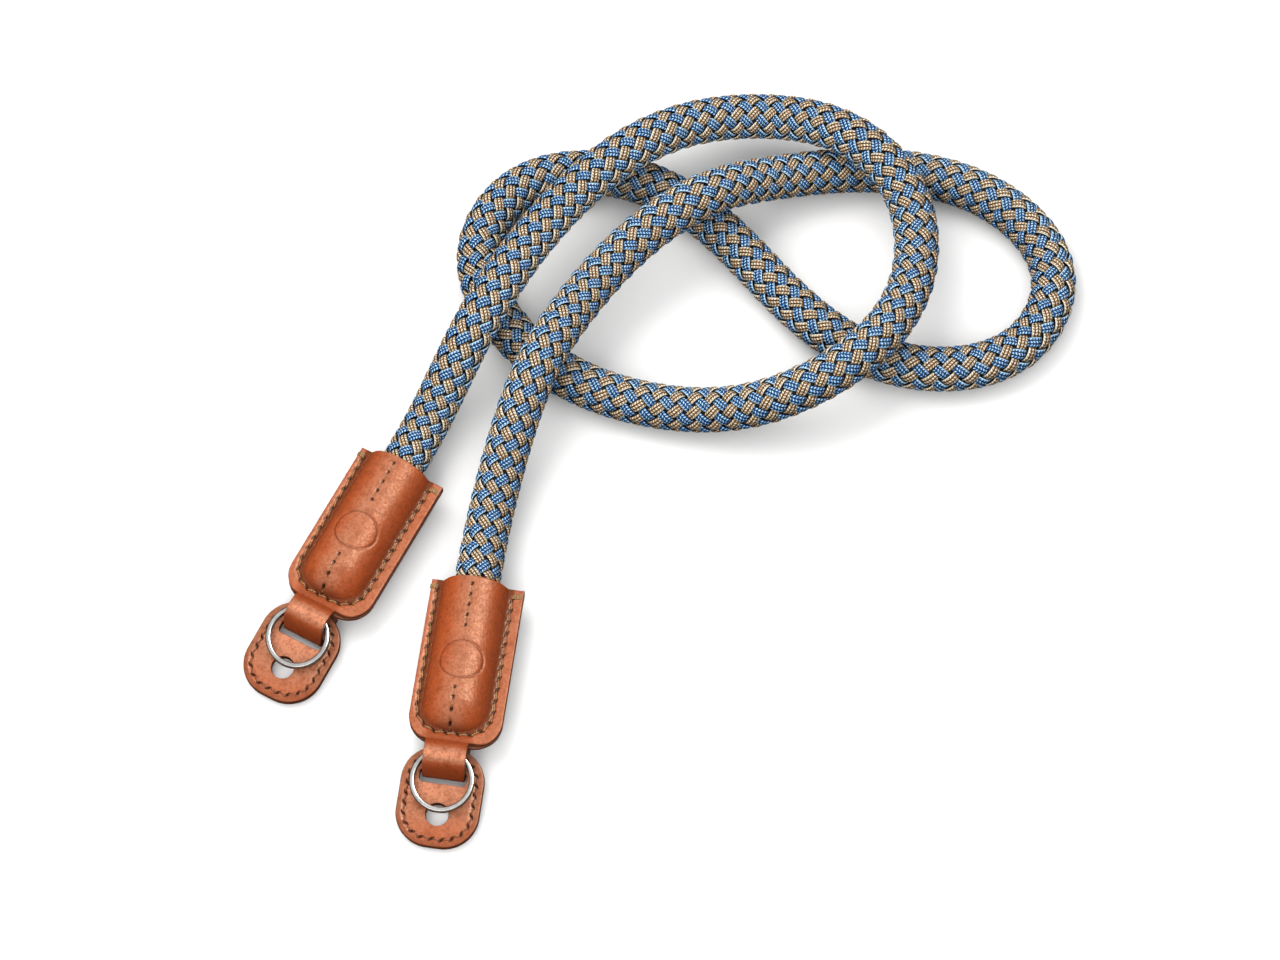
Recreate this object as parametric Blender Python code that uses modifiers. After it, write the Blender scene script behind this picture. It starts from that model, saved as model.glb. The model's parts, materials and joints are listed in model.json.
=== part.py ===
"""Camera strap: a coiled braided rope with a moulded leather end at each of its two tips.

Each end is a leather sleeve of two halves round the rope's tip. The front half runs on as a narrow
strap that folds over a split ring, down through the slot of a ring pad and back under the sleeve.
Blender 4.5, metres, +Z up, the floor at Z = 0. In an end's own frame +X runs across it, -Y runs
from the sleeve's mouth out to the pad, and Z is the height above the floor.
"""
import math

import bmesh
import bpy
import numpy as np
from mathutils import Vector

MM = 0.001

# Rope
ROPE_DIAMETER = 11.0 * MM
ROPE_TIP_GAP = 0.9 * MM
ROPE_POINTS = 77
ROPE_BEVEL_RESOLUTION = 4

# Leather and the space left between pieces
LEATHER = 1.3 * MM
CLEARANCE = 0.3 * MM
FLOOR_GAP = 0.05 * MM

# Sleeve
SLEEVE_LENGTH = 40.0 * MM
FLANGE_LEFT = 9.9 * MM
FLANGE_RIGHT = 12.0 * MM
SHOULDER_RADIUS = 6.5 * MM
TUNNEL_SHIFT = 0.5 * MM
TUNNEL_SIDE_ROOM = 0.8 * MM
TUNNEL_FLARE = 1.3 * MM
TUNNEL_END_MARGIN = 4.0 * MM
TUNNEL_TAPER = 6.6 * MM
TUNNEL_CORNER = 5.6 * MM
CROWN_DEGREES = (90.0, 66.0, 44.0, 25.0)
FOOT_SHARES = (1 / 3, 2 / 3, 1.0)
TAPER_SHARES = (0.0, 0.35, 0.6, 0.78, 0.9, 0.97, 1.0)
FLANGE_END_SHARES = (0.4, 0.75, 0.93, 1.0)

# Strap that holds the ring
STRAP_WIDTH = 10.0 * MM
FOLD_RADIUS = 0.9 * MM
RISE_RADIUS = 1.2 * MM

# Ring pad
PAD_LENGTH = 23.9 * MM
PAD_WIDTH = 19.4 * MM
PAD_THICKNESS = 2.3 * MM
PAD_TUCK = 0.7 * MM
PAD_CORNER = 8.2 * MM
PAD_HOLE_DIAMETER = 5.4 * MM
PAD_HOLE_SETBACK = 7.7 * MM
SLOT_LENGTH = 3.3 * MM
SLOT_SIDE_ROOM = 0.6 * MM
BRIDGE_LENGTH = 5.6 * MM

# Split ring
RING_DIAMETER = 15.2 * MM
WIRE_WIDTH = 1.25 * MM
WIRE_THICKNESS = 0.95 * MM
COIL_GAP = 0.12 * MM
CRANK_DEGREES = 44.0
RING_STEPS_PER_TURN = 26
RING_TOP_SETBACK = 0.75 * MM

# Where the two ends lie: mouth's place on the floor in millimetres and turn in degrees
ENDS = {
    "left": {"mouth_mm": (2.8, 44.3), "turn": -28.4},
    "right": {"mouth_mm": (21.0, 14.0), "turn": -8.3},
}

# The rope's way from the left sleeve to the right one, chosen by hand: x and y in
# millimetres, and the lift of its centre line off its resting height in rope diameters
ROPE_ROUTE = [
    (10.2, 57.1, 0.28),
    (19.1, 73.9, 0.93),
    (29.1, 91.6, 1.10),
    (41.0, 108.1, 1.08),
    (55.5, 121.8, 1.09),
    (72.9, 131.7, 0.83),
    (92.7, 134.2, 0.68),
    (111.0, 126.7, 1.07),
    (123.4, 111.9, 1.10),
    (125.4, 91.8, 0.97),
    (116.6, 73.9, 1.08),
    (100.5, 62.7, 0.83),
    (81.7, 59.1, 0.26),
    (61.8, 61.3, 0.02),
    (42.9, 68.5, 0.0),
    (27.8, 82.0, 0.0),
    (21.1, 100.8, 0.0),
    (30.1, 118.0, 0.0),
    (49.5, 122.8, 0.0),
    (68.4, 116.2, 0.0),
    (83.6, 102.7, 0.0),
    (97.0, 87.5, 0.0),
    (113.1, 75.2, 0.0),
    (132.7, 70.6, 0.0),
    (151.6, 77.1, 0.0),
    (159.4, 94.9, 0.0),
    (149.8, 112.2, 0.0),
    (131.8, 121.4, 0.0),
    (111.7, 123.3, 0.03),
    (92.4, 119.2, 0.42),
    (75.0, 110.5, 1.13),
    (58.7, 98.7, 1.09),
    (45.4, 83.6, 0.95),
    (35.6, 66.1, 1.08),
    (28.8, 47.7, 0.61),
    (24.0, 28.5, 0.21),
]

# Values that follow from the sizes above
ROPE_RADIUS = ROPE_DIAMETER / 2
TUNNEL_LENGTH = SLEEVE_LENGTH - TUNNEL_END_MARGIN
ROPE_INSERT = TUNNEL_LENGTH - TUNNEL_TAPER - ROPE_TIP_GAP
TUNNEL_DEPTH = ROPE_RADIUS + CLEARANCE
SEAM_HEIGHT = TUNNEL_DEPTH + LEATHER
TUNNEL_SIDE = ROPE_RADIUS + TUNNEL_SIDE_ROOM
TUNNEL_FOOT = TUNNEL_SIDE + TUNNEL_FLARE
STRAP_HALF = STRAP_WIDTH / 2
PAD_START = SLEEVE_LENGTH - PAD_TUCK
PAD_END = PAD_START + PAD_LENGTH
SLOT_START = PAD_START + BRIDGE_LENGTH
RUN_TOP = FLOOR_GAP + LEATHER
PAD_SLOPE = math.asin((RUN_TOP + CLEARANCE) / (PAD_END - SLOT_START))

# Ring: its axis lies halfway through the arc that the strap holds
RING_MEAN_RADIUS = (RING_DIAMETER - WIRE_WIDTH) / 2
RING_HALF_THICKNESS = WIRE_THICKNESS + COIL_GAP / 2
HELD_ARC_HALF = STRAP_HALF + CLEARANCE
HELD_ARC_DROP = RING_MEAN_RADIUS - math.sqrt(RING_MEAN_RADIUS ** 2 - HELD_ARC_HALF ** 2)
AXIS_TO_CENTRE = RING_MEAN_RADIUS - HELD_ARC_DROP / 2
RING_SWEPT_RADIUS = math.hypot(HELD_ARC_DROP / 2 + WIRE_WIDTH / 2, RING_HALF_THICKNESS)
CHANNEL_RADIUS = RING_SWEPT_RADIUS + CLEARANCE
AXIS_ALONG = SLEEVE_LENGTH + RING_TOP_SETBACK + RING_DIAMETER / 2 - AXIS_TO_CENTRE
AXIS_HEIGHT = ((PAD_END - AXIS_ALONG) * math.tan(PAD_SLOPE)
               + (PAD_THICKNESS + CHANNEL_RADIUS) / math.cos(PAD_SLOPE))
RING_REACH = AXIS_TO_CENTRE + RING_DIAMETER / 2
RING_TILT = PAD_SLOPE + math.asin((CHANNEL_RADIUS - RING_HALF_THICKNESS - CLEARANCE) / RING_REACH)


def clear_scene():
    """Remove every object of the open scene."""
    for thing in list(bpy.data.objects):
        bpy.data.objects.remove(thing, do_unlink=True)


def new_collection(name):
    """Add a collection to the scene."""
    collection = bpy.data.collections.new(name)
    bpy.context.scene.collection.children.link(collection)
    return collection


def new_material(name, colour, roughness, metallic=0.0):
    """One Principled material."""
    material = bpy.data.materials.new(name)
    material.use_nodes = True
    shader = material.node_tree.nodes["Principled BSDF"]
    shader.inputs["Base Color"].default_value = (*colour, 1.0)
    shader.inputs["Roughness"].default_value = roughness
    shader.inputs["Metallic"].default_value = metallic
    return material


def add_object(name, data, collection, material, parent=None):
    """Link a named object with its material and, for an end's piece, its parent empty."""
    piece = bpy.data.objects.new(name, data)
    collection.objects.link(piece)
    data.materials.append(material)
    piece.parent = parent
    return piece


def sample_arc(centre, radius, start, end, steps):
    """Points on an arc in the (along, up) plane, angles in radians from +along towards up."""
    angles = np.linspace(start, end, steps + 1)
    return [(centre[0] + radius * math.cos(a), centre[1] + radius * math.sin(a)) for a in angles]


def flange_half_width(width, along):
    """The flange's half width at a place along the sleeve, with its rounded shoulder."""
    shoulder_start = SLEEVE_LENGTH - SHOULDER_RADIUS
    if along <= shoulder_start:
        return width
    rest = max(SHOULDER_RADIUS ** 2 - (along - shoulder_start) ** 2, 0.0)
    return max(STRAP_HALF, width - SHOULDER_RADIUS + math.sqrt(rest))


def tunnel_scale(along):
    """Width and height of the tunnel at a place along it, as shares of the full section."""
    corner_start = TUNNEL_LENGTH - TUNNEL_CORNER
    width = 1.0
    if along > corner_start:
        rest = max(TUNNEL_CORNER ** 2 - (along - corner_start) ** 2, 0.0)
        width = (TUNNEL_FOOT - TUNNEL_CORNER + math.sqrt(rest)) / TUNNEL_FOOT
    closing = max(0.0, (along - TUNNEL_LENGTH + TUNNEL_TAPER) / TUNNEL_TAPER)
    height = max(0.0, 1.0 - closing ** 2.2) ** 0.75
    return width, height


def half_section():
    """Half of the tunnel's inner section, from its crown to its foot, as (across, height)."""
    depth = TUNNEL_DEPTH - CLEARANCE / 2
    points = []
    for degrees in CROWN_DEGREES:
        angle = math.radians(degrees)
        points.append((TUNNEL_SIDE * math.cos(angle), depth * math.sin(angle)))
    start_across, start_height = points[-1]
    slope = -depth / TUNNEL_SIDE / math.tan(angle)
    span = TUNNEL_FOOT - start_across
    for share in FOOT_SHARES:
        fall = 2 * share ** 3 - 3 * share ** 2 + 1
        lean = share ** 3 - 2 * share ** 2 + share
        points.append((start_across + span * share, start_height * fall + slope * span * lean))
    return points


def sleeve_row(along, side):
    """One row across a sleeve half's inner face; side is 1 for the front, -1 for the back."""
    left = flange_half_width(FLANGE_LEFT, along)
    right = flange_half_width(FLANGE_RIGHT, along)
    level = SEAM_HEIGHT + side * CLEARANCE / 2
    half = half_section()
    count = 2 * len(half) + 1
    if along > TUNNEL_LENGTH:
        across = np.linspace(-left, right, count)
        return [Vector((x, -along, level)) for x in across]
    width, height = tunnel_scale(along)
    bulge = [(-x, z) for x, z in reversed(half)] + half[1:]
    row = [Vector((-left, -along, level))]
    for x, z in bulge:
        row.append(Vector((TUNNEL_SHIFT + x * width, -along, level + side * z * height)))
    row.append(Vector((right, -along, level)))
    return row


def sleeve_stations():
    """Places along a sleeve where its section is set."""
    taper_start = TUNNEL_LENGTH - TUNNEL_TAPER
    stations = [0.0, taper_start / 2]
    stations += [taper_start + TUNNEL_TAPER * share for share in TAPER_SHARES]
    stations += [TUNNEL_LENGTH + TUNNEL_END_MARGIN * share for share in FLANGE_END_SHARES]
    return stations


def strap_path():
    """The strap's inner line from the sleeve's end round the ring, through the slot and back."""
    start = (SLEEVE_LENGTH, SEAM_HEIGHT + CLEARANCE / 2)
    ring_centre = (AXIS_ALONG, AXIS_HEIGHT)
    fold_centre = (SLOT_START - FOLD_RADIUS / 4, RUN_TOP + FOLD_RADIUS)
    rise_centre = (PAD_START + RISE_RADIUS / 2, RUN_TOP + RISE_RADIUS)
    away = math.atan2(start[1] - ring_centre[1], start[0] - ring_centre[0])
    distance = math.dist(start, ring_centre)
    first = away - math.acos(min(1.0, CHANNEL_RADIUS / distance))
    towards = math.atan2(fold_centre[1] - ring_centre[1], fold_centre[0] - ring_centre[0])
    spread = math.acos((CHANNEL_RADIUS - FOLD_RADIUS) / math.dist(ring_centre, fold_centre))
    leave = towards + spread
    path = sample_arc(ring_centre, CHANNEL_RADIUS, first, leave, 7)
    path += sample_arc(fold_centre, FOLD_RADIUS, leave, -math.pi / 2, 5)
    path += sample_arc(rise_centre, RISE_RADIUS, -math.pi / 2, -math.pi, 4)
    path.append((rise_centre[0] - RISE_RADIUS, SEAM_HEIGHT - CLEARANCE * 1.5 - LEATHER))
    return path


def grid_shell(name, rows):
    """A one-sided grid mesh through rows of points."""
    mesh = bpy.data.meshes.new(name)
    shell = bmesh.new()
    lines = [[shell.verts.new(point) for point in row] for row in rows]
    for upper, lower in zip(lines, lines[1:]):
        for k in range(len(upper) - 1):
            shell.faces.new((upper[k], lower[k], lower[k + 1], upper[k + 1]))
    shell.to_mesh(mesh)
    shell.free()
    mesh.shade_smooth()
    return mesh


def add_thickness(piece):
    """Give a leather shell its wall, outwards from its inner face."""
    wall = piece.modifiers.new("leather_thickness", "SOLIDIFY")
    wall.thickness = LEATHER
    wall.offset = 1.0
    wall.use_even_offset = True


def make_sleeve_front(side, collection, parent):
    """The moulded front half and the strap that goes on from it round the ring."""
    rows = [sleeve_row(along, 1) for along in sleeve_stations()]
    across = np.linspace(-STRAP_HALF, STRAP_HALF, len(rows[0]))
    for along, up in strap_path():
        rows.append([Vector((x, -along, up)) for x in across])
    leather = new_material("front_leather_" + side, (0.47, 0.15, 0.06), 0.45)
    name = "sleeve_front_" + side
    piece = add_object(name, grid_shell(name, rows), collection, leather, parent)
    add_thickness(piece)
    return piece


def make_sleeve_back(side, collection, parent):
    """The moulded back half, whose underside rests on the floor."""
    rows = [sleeve_row(along, -1) for along in sleeve_stations()]
    rows = [list(reversed(row)) for row in rows]
    leather = new_material("back_leather_" + side, (0.42, 0.14, 0.06), 0.5)
    name = "sleeve_back_" + side
    piece = add_object(name, grid_shell(name, rows), collection, leather, parent)
    add_thickness(piece)
    return piece


def rounded_box_outline(half_width, low, high, radius, steps):
    """Outline of a rounded rectangle from low to high along Y."""
    radius = min(radius, half_width * 0.999, (high - low) * 0.499)
    corners = [
        (half_width - radius, high - radius, 0),
        (-half_width + radius, high - radius, 1),
        (-half_width + radius, low + radius, 2),
        (half_width - radius, low + radius, 3),
    ]
    points = []
    for x, y, quarter in corners:
        for step in range(steps + 1):
            angle = math.pi / 2 * (quarter + step / steps)
            points.append((x + radius * math.cos(angle), y + radius * math.sin(angle)))
    return points


def circle_outline(centre_y, radius, steps):
    """Outline of a round hole on the pad's centre line."""
    angles = [2 * math.pi * k / steps for k in range(steps)]
    return [(radius * math.cos(a), centre_y + radius * math.sin(a)) for a in angles]


def flat_curve(name, outlines, thickness):
    """A flat outline with its openings, filled and given a thickness."""
    curve = bpy.data.curves.new(name, "CURVE")
    curve.dimensions = "2D"
    curve.fill_mode = "BOTH"
    curve.extrude = thickness / 2
    for outline in outlines:
        spline = curve.splines.new("POLY")
        spline.points.add(len(outline) - 1)
        for point, (x, y) in zip(spline.points, outline):
            point.co = (x, y, 0.0, 1.0)
        spline.use_cyclic_u = True
    return curve


def make_ring_pad(side, collection, parent):
    """The pad under the ring, with its slot for the strap and its round hole."""
    slot_low = PAD_LENGTH - BRIDGE_LENGTH - SLOT_LENGTH
    slot_high = PAD_LENGTH - BRIDGE_LENGTH
    slot_half = STRAP_HALF + SLOT_SIDE_ROOM
    outlines = [
        rounded_box_outline(PAD_WIDTH / 2, 0.0, PAD_LENGTH, PAD_CORNER, 8),
        rounded_box_outline(slot_half, slot_low, slot_high, SLOT_LENGTH / 3, 3),
        circle_outline(PAD_HOLE_SETBACK, PAD_HOLE_DIAMETER / 2, 20),
    ]
    leather = new_material("pad_leather_" + side, (0.52, 0.19, 0.09), 0.5)
    name = "ring_pad_" + side
    piece = add_object(name, flat_curve(name, outlines, PAD_THICKNESS), collection, leather, parent)
    lift = Vector((0.0, -math.sin(PAD_SLOPE), math.cos(PAD_SLOPE))) * (PAD_THICKNESS / 2)
    piece.location = Vector((0.0, -PAD_END, 0.0)) + lift
    piece.rotation_euler = (PAD_SLOPE, 0.0, 0.0)
    return piece


def coil_height(turned):
    """Height of the wire's centre after an angle in radians: low coil, crank, high coil."""
    half_pitch = (WIRE_THICKNESS + COIL_GAP) / 2
    crank = math.radians(CRANK_DEGREES)
    share = min(1.0, max(0.0, (turned - 2 * math.pi) / crank + 0.5))
    return half_pitch * (2 * (3 * share ** 2 - 2 * share ** 3) - 1)


def ring_line():
    """Centre line of the two-turn ring, round the ring's own centre, with the crank at +Y."""
    crank = math.radians(CRANK_DEGREES)
    first = crank / 2 + WIRE_WIDTH / RING_MEAN_RADIUS
    last = 4 * math.pi - first
    steps = round((last - first) / (2 * math.pi) * RING_STEPS_PER_TURN)
    points = []
    for turned in np.linspace(first, last, steps + 1):
        x = RING_MEAN_RADIUS * math.sin(turned)
        y = RING_MEAN_RADIUS * math.cos(turned) - AXIS_TO_CENTRE
        points.append((x, y, coil_height(turned)))
    return points


def make_wire_section(guides):
    """The rounded section of the ring's wire, a guide for its curve."""
    outline = rounded_box_outline(WIRE_WIDTH / 2, -WIRE_THICKNESS / 2, WIRE_THICKNESS / 2,
                                  WIRE_THICKNESS * 0.4, 1)
    outline.reverse()
    curve = bpy.data.curves.new("wire_section", "CURVE")
    curve.dimensions = "2D"
    spline = curve.splines.new("POLY")
    spline.points.add(len(outline) - 1)
    for point, (x, y) in zip(spline.points, outline):
        point.co = (x, y, 0.0, 1.0)
    spline.use_cyclic_u = True
    section = bpy.data.objects.new("wire_section", curve)
    guides.objects.link(section)
    section.hide_render = True
    section.display_type = "WIRE"
    return section


def poly_curve(name, points):
    """A 3D curve of one straight-sided spline."""
    curve = bpy.data.curves.new(name, "CURVE")
    curve.dimensions = "3D"
    spline = curve.splines.new("POLY")
    spline.points.add(len(points) - 1)
    for point, place in zip(spline.points, points):
        point.co = (*place, 1.0)
    curve.use_fill_caps = True
    return curve


def make_split_ring(side, collection, parent, section):
    """The split ring, with its origin on the axis where it swings in the strap."""
    name = "split_ring_" + side
    curve = poly_curve(name, ring_line())
    curve.twist_mode = "Z_UP"
    curve.bevel_mode = "OBJECT"
    curve.bevel_object = section
    steel = new_material("ring_steel_" + side, (0.62, 0.60, 0.57), 0.3, 1.0)
    piece = add_object(name, curve, collection, steel, parent)
    piece.location = (0.0, -AXIS_ALONG, AXIS_HEIGHT)
    piece.rotation_euler = (RING_TILT, 0.0, 0.0)
    return piece


def natural_spline(points):
    """Second derivatives and knots of a natural cubic spline through points."""
    knots = np.concatenate(([0.0], np.cumsum(np.linalg.norm(np.diff(points, axis=0), axis=1))))
    gaps = np.diff(knots)
    count = len(points)
    matrix = np.eye(count)
    right = np.zeros_like(points)
    for k in range(1, count - 1):
        matrix[k, k - 1] = gaps[k - 1]
        matrix[k, k] = 2 * (gaps[k - 1] + gaps[k])
        matrix[k, k + 1] = gaps[k]
        rise = (points[k + 1] - points[k]) / gaps[k] - (points[k] - points[k - 1]) / gaps[k - 1]
        right[k] = 6 * rise
    return knots, np.linalg.solve(matrix, right)


def read_spline(points, knots, bends, at):
    """One point of the spline at a distance along its knots."""
    k = min(max(int(np.searchsorted(knots, at)) - 1, 0), len(knots) - 2)
    gap = knots[k + 1] - knots[k]
    near = (knots[k + 1] - at) / gap
    far = (at - knots[k]) / gap
    curve = (near ** 3 - near) * bends[k] + (far ** 3 - far) * bends[k + 1]
    return near * points[k] + far * points[k + 1] + curve * gap ** 2 / 6


def sleeve_axis_points(parent):
    """The rope's two points in a sleeve: at its tip and at the mouth."""
    tip = parent.matrix_world @ Vector((TUNNEL_SHIFT, -ROPE_INSERT, SEAM_HEIGHT))
    mouth = parent.matrix_world @ Vector((TUNNEL_SHIFT, 0.0, SEAM_HEIGHT))
    return [tuple(tip), tuple(mouth)]


def make_rope(collection, parents):
    """The rope as one round tube along its route."""
    route = sleeve_axis_points(parents["left"])
    for x, y, lift in ROPE_ROUTE:
        route.append((x * MM, y * MM, ROPE_RADIUS + lift * ROPE_DIAMETER))
    route += reversed(sleeve_axis_points(parents["right"]))
    route = np.array(route)
    knots, bends = natural_spline(route)
    points = []
    for at in np.linspace(0.0, knots[-1], ROPE_POINTS):
        x, y, z = read_spline(route, knots, bends, at)
        points.append((x, y, max(z, ROPE_RADIUS)))
    curve = poly_curve("rope", points)
    curve.bevel_depth = ROPE_RADIUS
    curve.bevel_resolution = ROPE_BEVEL_RESOLUTION
    braid = new_material("braid", (0.20, 0.32, 0.48), 0.75)
    return add_object("rope", curve, collection, braid)


def make_end_frame(side, collection):
    """An empty on the floor under a sleeve's mouth, turned as the end lies."""
    end = ENDS[side]
    frame = bpy.data.objects.new("end_" + side, None)
    collection.objects.link(frame)
    frame.location = (end["mouth_mm"][0] * MM, end["mouth_mm"][1] * MM, 0.0)
    frame.rotation_euler = (0.0, 0.0, math.radians(end["turn"]))
    return frame


def main():
    clear_scene()
    strap = new_collection("rope_camera_strap")
    guides = new_collection("guides")
    section = make_wire_section(guides)
    parents = {side: make_end_frame(side, strap) for side in ENDS}
    bpy.context.view_layer.update()
    for side, parent in parents.items():
        make_sleeve_front(side, strap, parent)
        make_sleeve_back(side, strap, parent)
        make_ring_pad(side, strap, parent)
        make_split_ring(side, strap, parent, section)
    make_rope(strap, parents)
    bpy.context.view_layer.update()


main()
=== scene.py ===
"""Looks of the braided rope camera strap: braid, moulded leather, stitches and split rings.

Laid out as a Blender add-on and run as a script. Metres, +Z up, the floor at Z = 0. In an end's
own frame +X runs across it, -Y runs from the sleeve's mouth out to the pad, and Z is the height.
"""
import json
import math

import bmesh
import bpy
import numpy as np
from mathutils import Matrix, Vector


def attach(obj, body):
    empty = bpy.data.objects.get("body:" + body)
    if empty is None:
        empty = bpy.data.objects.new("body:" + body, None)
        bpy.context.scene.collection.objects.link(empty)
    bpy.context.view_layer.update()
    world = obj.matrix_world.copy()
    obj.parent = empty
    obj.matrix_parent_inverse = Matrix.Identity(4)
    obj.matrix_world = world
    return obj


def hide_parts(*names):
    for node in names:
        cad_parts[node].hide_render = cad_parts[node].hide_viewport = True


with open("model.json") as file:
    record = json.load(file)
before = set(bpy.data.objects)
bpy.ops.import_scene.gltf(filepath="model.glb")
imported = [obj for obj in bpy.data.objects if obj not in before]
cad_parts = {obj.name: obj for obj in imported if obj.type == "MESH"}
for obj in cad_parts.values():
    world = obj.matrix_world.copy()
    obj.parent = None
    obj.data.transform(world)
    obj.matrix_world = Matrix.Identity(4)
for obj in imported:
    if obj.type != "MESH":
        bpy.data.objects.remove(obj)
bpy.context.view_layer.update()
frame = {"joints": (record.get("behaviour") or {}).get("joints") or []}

bl_info = {
    "name": "Braided Rope Camera Strap",
    "version": (1, 0, 0),
    "blender": (4, 5, 0),
    "location": "View3D > Sidebar > Rope Strap",
    "description": "Dresses a coiled rope camera strap with its braid, leather, thread and steel",
    "category": "Add Mesh",
}

MM = 0.001

# Sizes that the looks share with the solids
LEATHER = 1.3 * MM
CLEARANCE = 0.3 * MM
FLOOR_GAP = 0.05 * MM
ROPE_DIAMETER = 11.0 * MM
ROPE_TIP_GAP = 0.9 * MM
SLEEVE_LENGTH = 40.0 * MM
FLANGE_LEFT = 9.9 * MM
FLANGE_RIGHT = 12.0 * MM
SHOULDER_RADIUS = 6.5 * MM
TUNNEL_SHIFT = 0.5 * MM
TUNNEL_SIDE_ROOM = 0.8 * MM
TUNNEL_FLARE = 1.3 * MM
TUNNEL_END_MARGIN = 4.0 * MM
TUNNEL_TAPER = 6.6 * MM
TUNNEL_CORNER = 5.6 * MM
DOME_END = math.radians(25.0)
STRAP_HALF = 5.0 * MM
FOLD_RADIUS = 0.9 * MM
RISE_RADIUS = 1.2 * MM
PAD_LENGTH = 23.9 * MM
PAD_WIDTH = 19.4 * MM
PAD_THICKNESS = 2.3 * MM
PAD_TUCK = 0.7 * MM
PAD_CORNER = 8.2 * MM
PAD_HOLE_DIAMETER = 5.4 * MM
PAD_HOLE_SETBACK = 7.7 * MM
SLOT_LENGTH = 3.3 * MM
SLOT_HALF = 5.6 * MM
BRIDGE_LENGTH = 5.6 * MM
RING_DIAMETER = 15.2 * MM
WIRE_WIDTH = 1.25 * MM
WIRE_THICKNESS = 0.95 * MM
COIL_GAP = 0.12 * MM
CRANK = math.radians(44.0)
RING_TOP_SETBACK = 0.75 * MM

# The rope's way from the left sleeve to the right one, as in the solids: x and y in
# millimetres, and the lift of its centre line off its resting height in rope diameters
ROPE_ROUTE = [
    (10.2, 57.1, 0.28),
    (19.1, 73.9, 0.93),
    (29.1, 91.6, 1.10),
    (41.0, 108.1, 1.08),
    (55.5, 121.8, 1.09),
    (72.9, 131.7, 0.83),
    (92.7, 134.2, 0.68),
    (111.0, 126.7, 1.07),
    (123.4, 111.9, 1.10),
    (125.4, 91.8, 0.97),
    (116.6, 73.9, 1.08),
    (100.5, 62.7, 0.83),
    (81.7, 59.1, 0.26),
    (61.8, 61.3, 0.02),
    (42.9, 68.5, 0.0),
    (27.8, 82.0, 0.0),
    (21.1, 100.8, 0.0),
    (30.1, 118.0, 0.0),
    (49.5, 122.8, 0.0),
    (68.4, 116.2, 0.0),
    (83.6, 102.7, 0.0),
    (97.0, 87.5, 0.0),
    (113.1, 75.2, 0.0),
    (132.7, 70.6, 0.0),
    (151.6, 77.1, 0.0),
    (159.4, 94.9, 0.0),
    (149.8, 112.2, 0.0),
    (131.8, 121.4, 0.0),
    (111.7, 123.3, 0.03),
    (92.4, 119.2, 0.42),
    (75.0, 110.5, 1.13),
    (58.7, 98.7, 1.09),
    (45.4, 83.6, 0.95),
    (35.6, 66.1, 1.08),
    (28.8, 47.7, 0.61),
    (24.0, 28.5, 0.21),
]

# Values that follow from the sizes above
ROPE_RADIUS = ROPE_DIAMETER / 2
TUNNEL_LENGTH = SLEEVE_LENGTH - TUNNEL_END_MARGIN
ROPE_INSERT = TUNNEL_LENGTH - TUNNEL_TAPER - ROPE_TIP_GAP
TUNNEL_DEPTH = ROPE_RADIUS + CLEARANCE
SEAM_HEIGHT = TUNNEL_DEPTH + LEATHER
TUNNEL_SIDE = ROPE_RADIUS + TUNNEL_SIDE_ROOM
TUNNEL_FOOT = TUNNEL_SIDE + TUNNEL_FLARE
SHOULDER_START = SLEEVE_LENGTH - SHOULDER_RADIUS
PAD_START = SLEEVE_LENGTH - PAD_TUCK
PAD_END = PAD_START + PAD_LENGTH
SLOT_START = PAD_START + BRIDGE_LENGTH
RUN_TOP = FLOOR_GAP + LEATHER
PAD_SLOPE = math.asin((RUN_TOP + CLEARANCE) / (PAD_END - SLOT_START))
RING_MEAN_RADIUS = (RING_DIAMETER - WIRE_WIDTH) / 2
RING_HALF_THICKNESS = WIRE_THICKNESS + COIL_GAP / 2
HELD_ARC_HALF = STRAP_HALF + CLEARANCE
HELD_ARC_DROP = RING_MEAN_RADIUS - math.sqrt(RING_MEAN_RADIUS ** 2 - HELD_ARC_HALF ** 2)
AXIS_TO_CENTRE = RING_MEAN_RADIUS - HELD_ARC_DROP / 2
RING_SWEPT_RADIUS = math.hypot(HELD_ARC_DROP / 2 + WIRE_WIDTH / 2, RING_HALF_THICKNESS)
CHANNEL_RADIUS = RING_SWEPT_RADIUS + CLEARANCE
AXIS_ALONG = SLEEVE_LENGTH + RING_TOP_SETBACK + RING_DIAMETER / 2 - AXIS_TO_CENTRE
AXIS_HEIGHT = ((PAD_END - AXIS_ALONG) * math.tan(PAD_SLOPE)
               + (PAD_THICKNESS + CHANNEL_RADIUS) / math.cos(PAD_SLOPE))
RING_REACH = AXIS_TO_CENTRE + RING_DIAMETER / 2
RING_TILT = PAD_SLOPE + math.asin((CHANNEL_RADIUS - RING_HALF_THICKNESS - CLEARANCE) / RING_REACH)

SIDES = ("left", "right")

# How finely lines and faces are divided
ROPE_SAMPLES = 8000
ROPE_STEP = 0.5 * MM
ROWS_PER_CROSSING = 5.2
CORE_STEP = 2.5 * MM
CORE_SIDES = 16
SECTION_SAMPLES = 2000
SLOPE_STEP = 0.05 * MM
SEAM_STEP = 0.05 * MM
OUTLINE_STEP = 0.1 * MM
FINE_ENDS = np.array([0.0, 0.04, 0.09, 0.15, 0.23]) * MM
FINE_REACH = 0.32 * MM
BACK_COARSENESS = 1.7
STRAP_FINENESS = 0.8
SEAM_CORNER_STEPS = 15
BOX_CORNER_STEPS = 24
RIM_SHARES = (0.0, 0.12, 0.35, 0.65, 0.88, 1.0)
THREAD_SIDES = 6
THREAD_ROWS = 9
WIRE_ROWS = 260
WIRE_STEP = 0.12 * MM
EDGE_ARC_ROWS = 6
OPENING_STEP = 0.4 * MM
WELD_DISTANCE = 0.002 * MM


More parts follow.
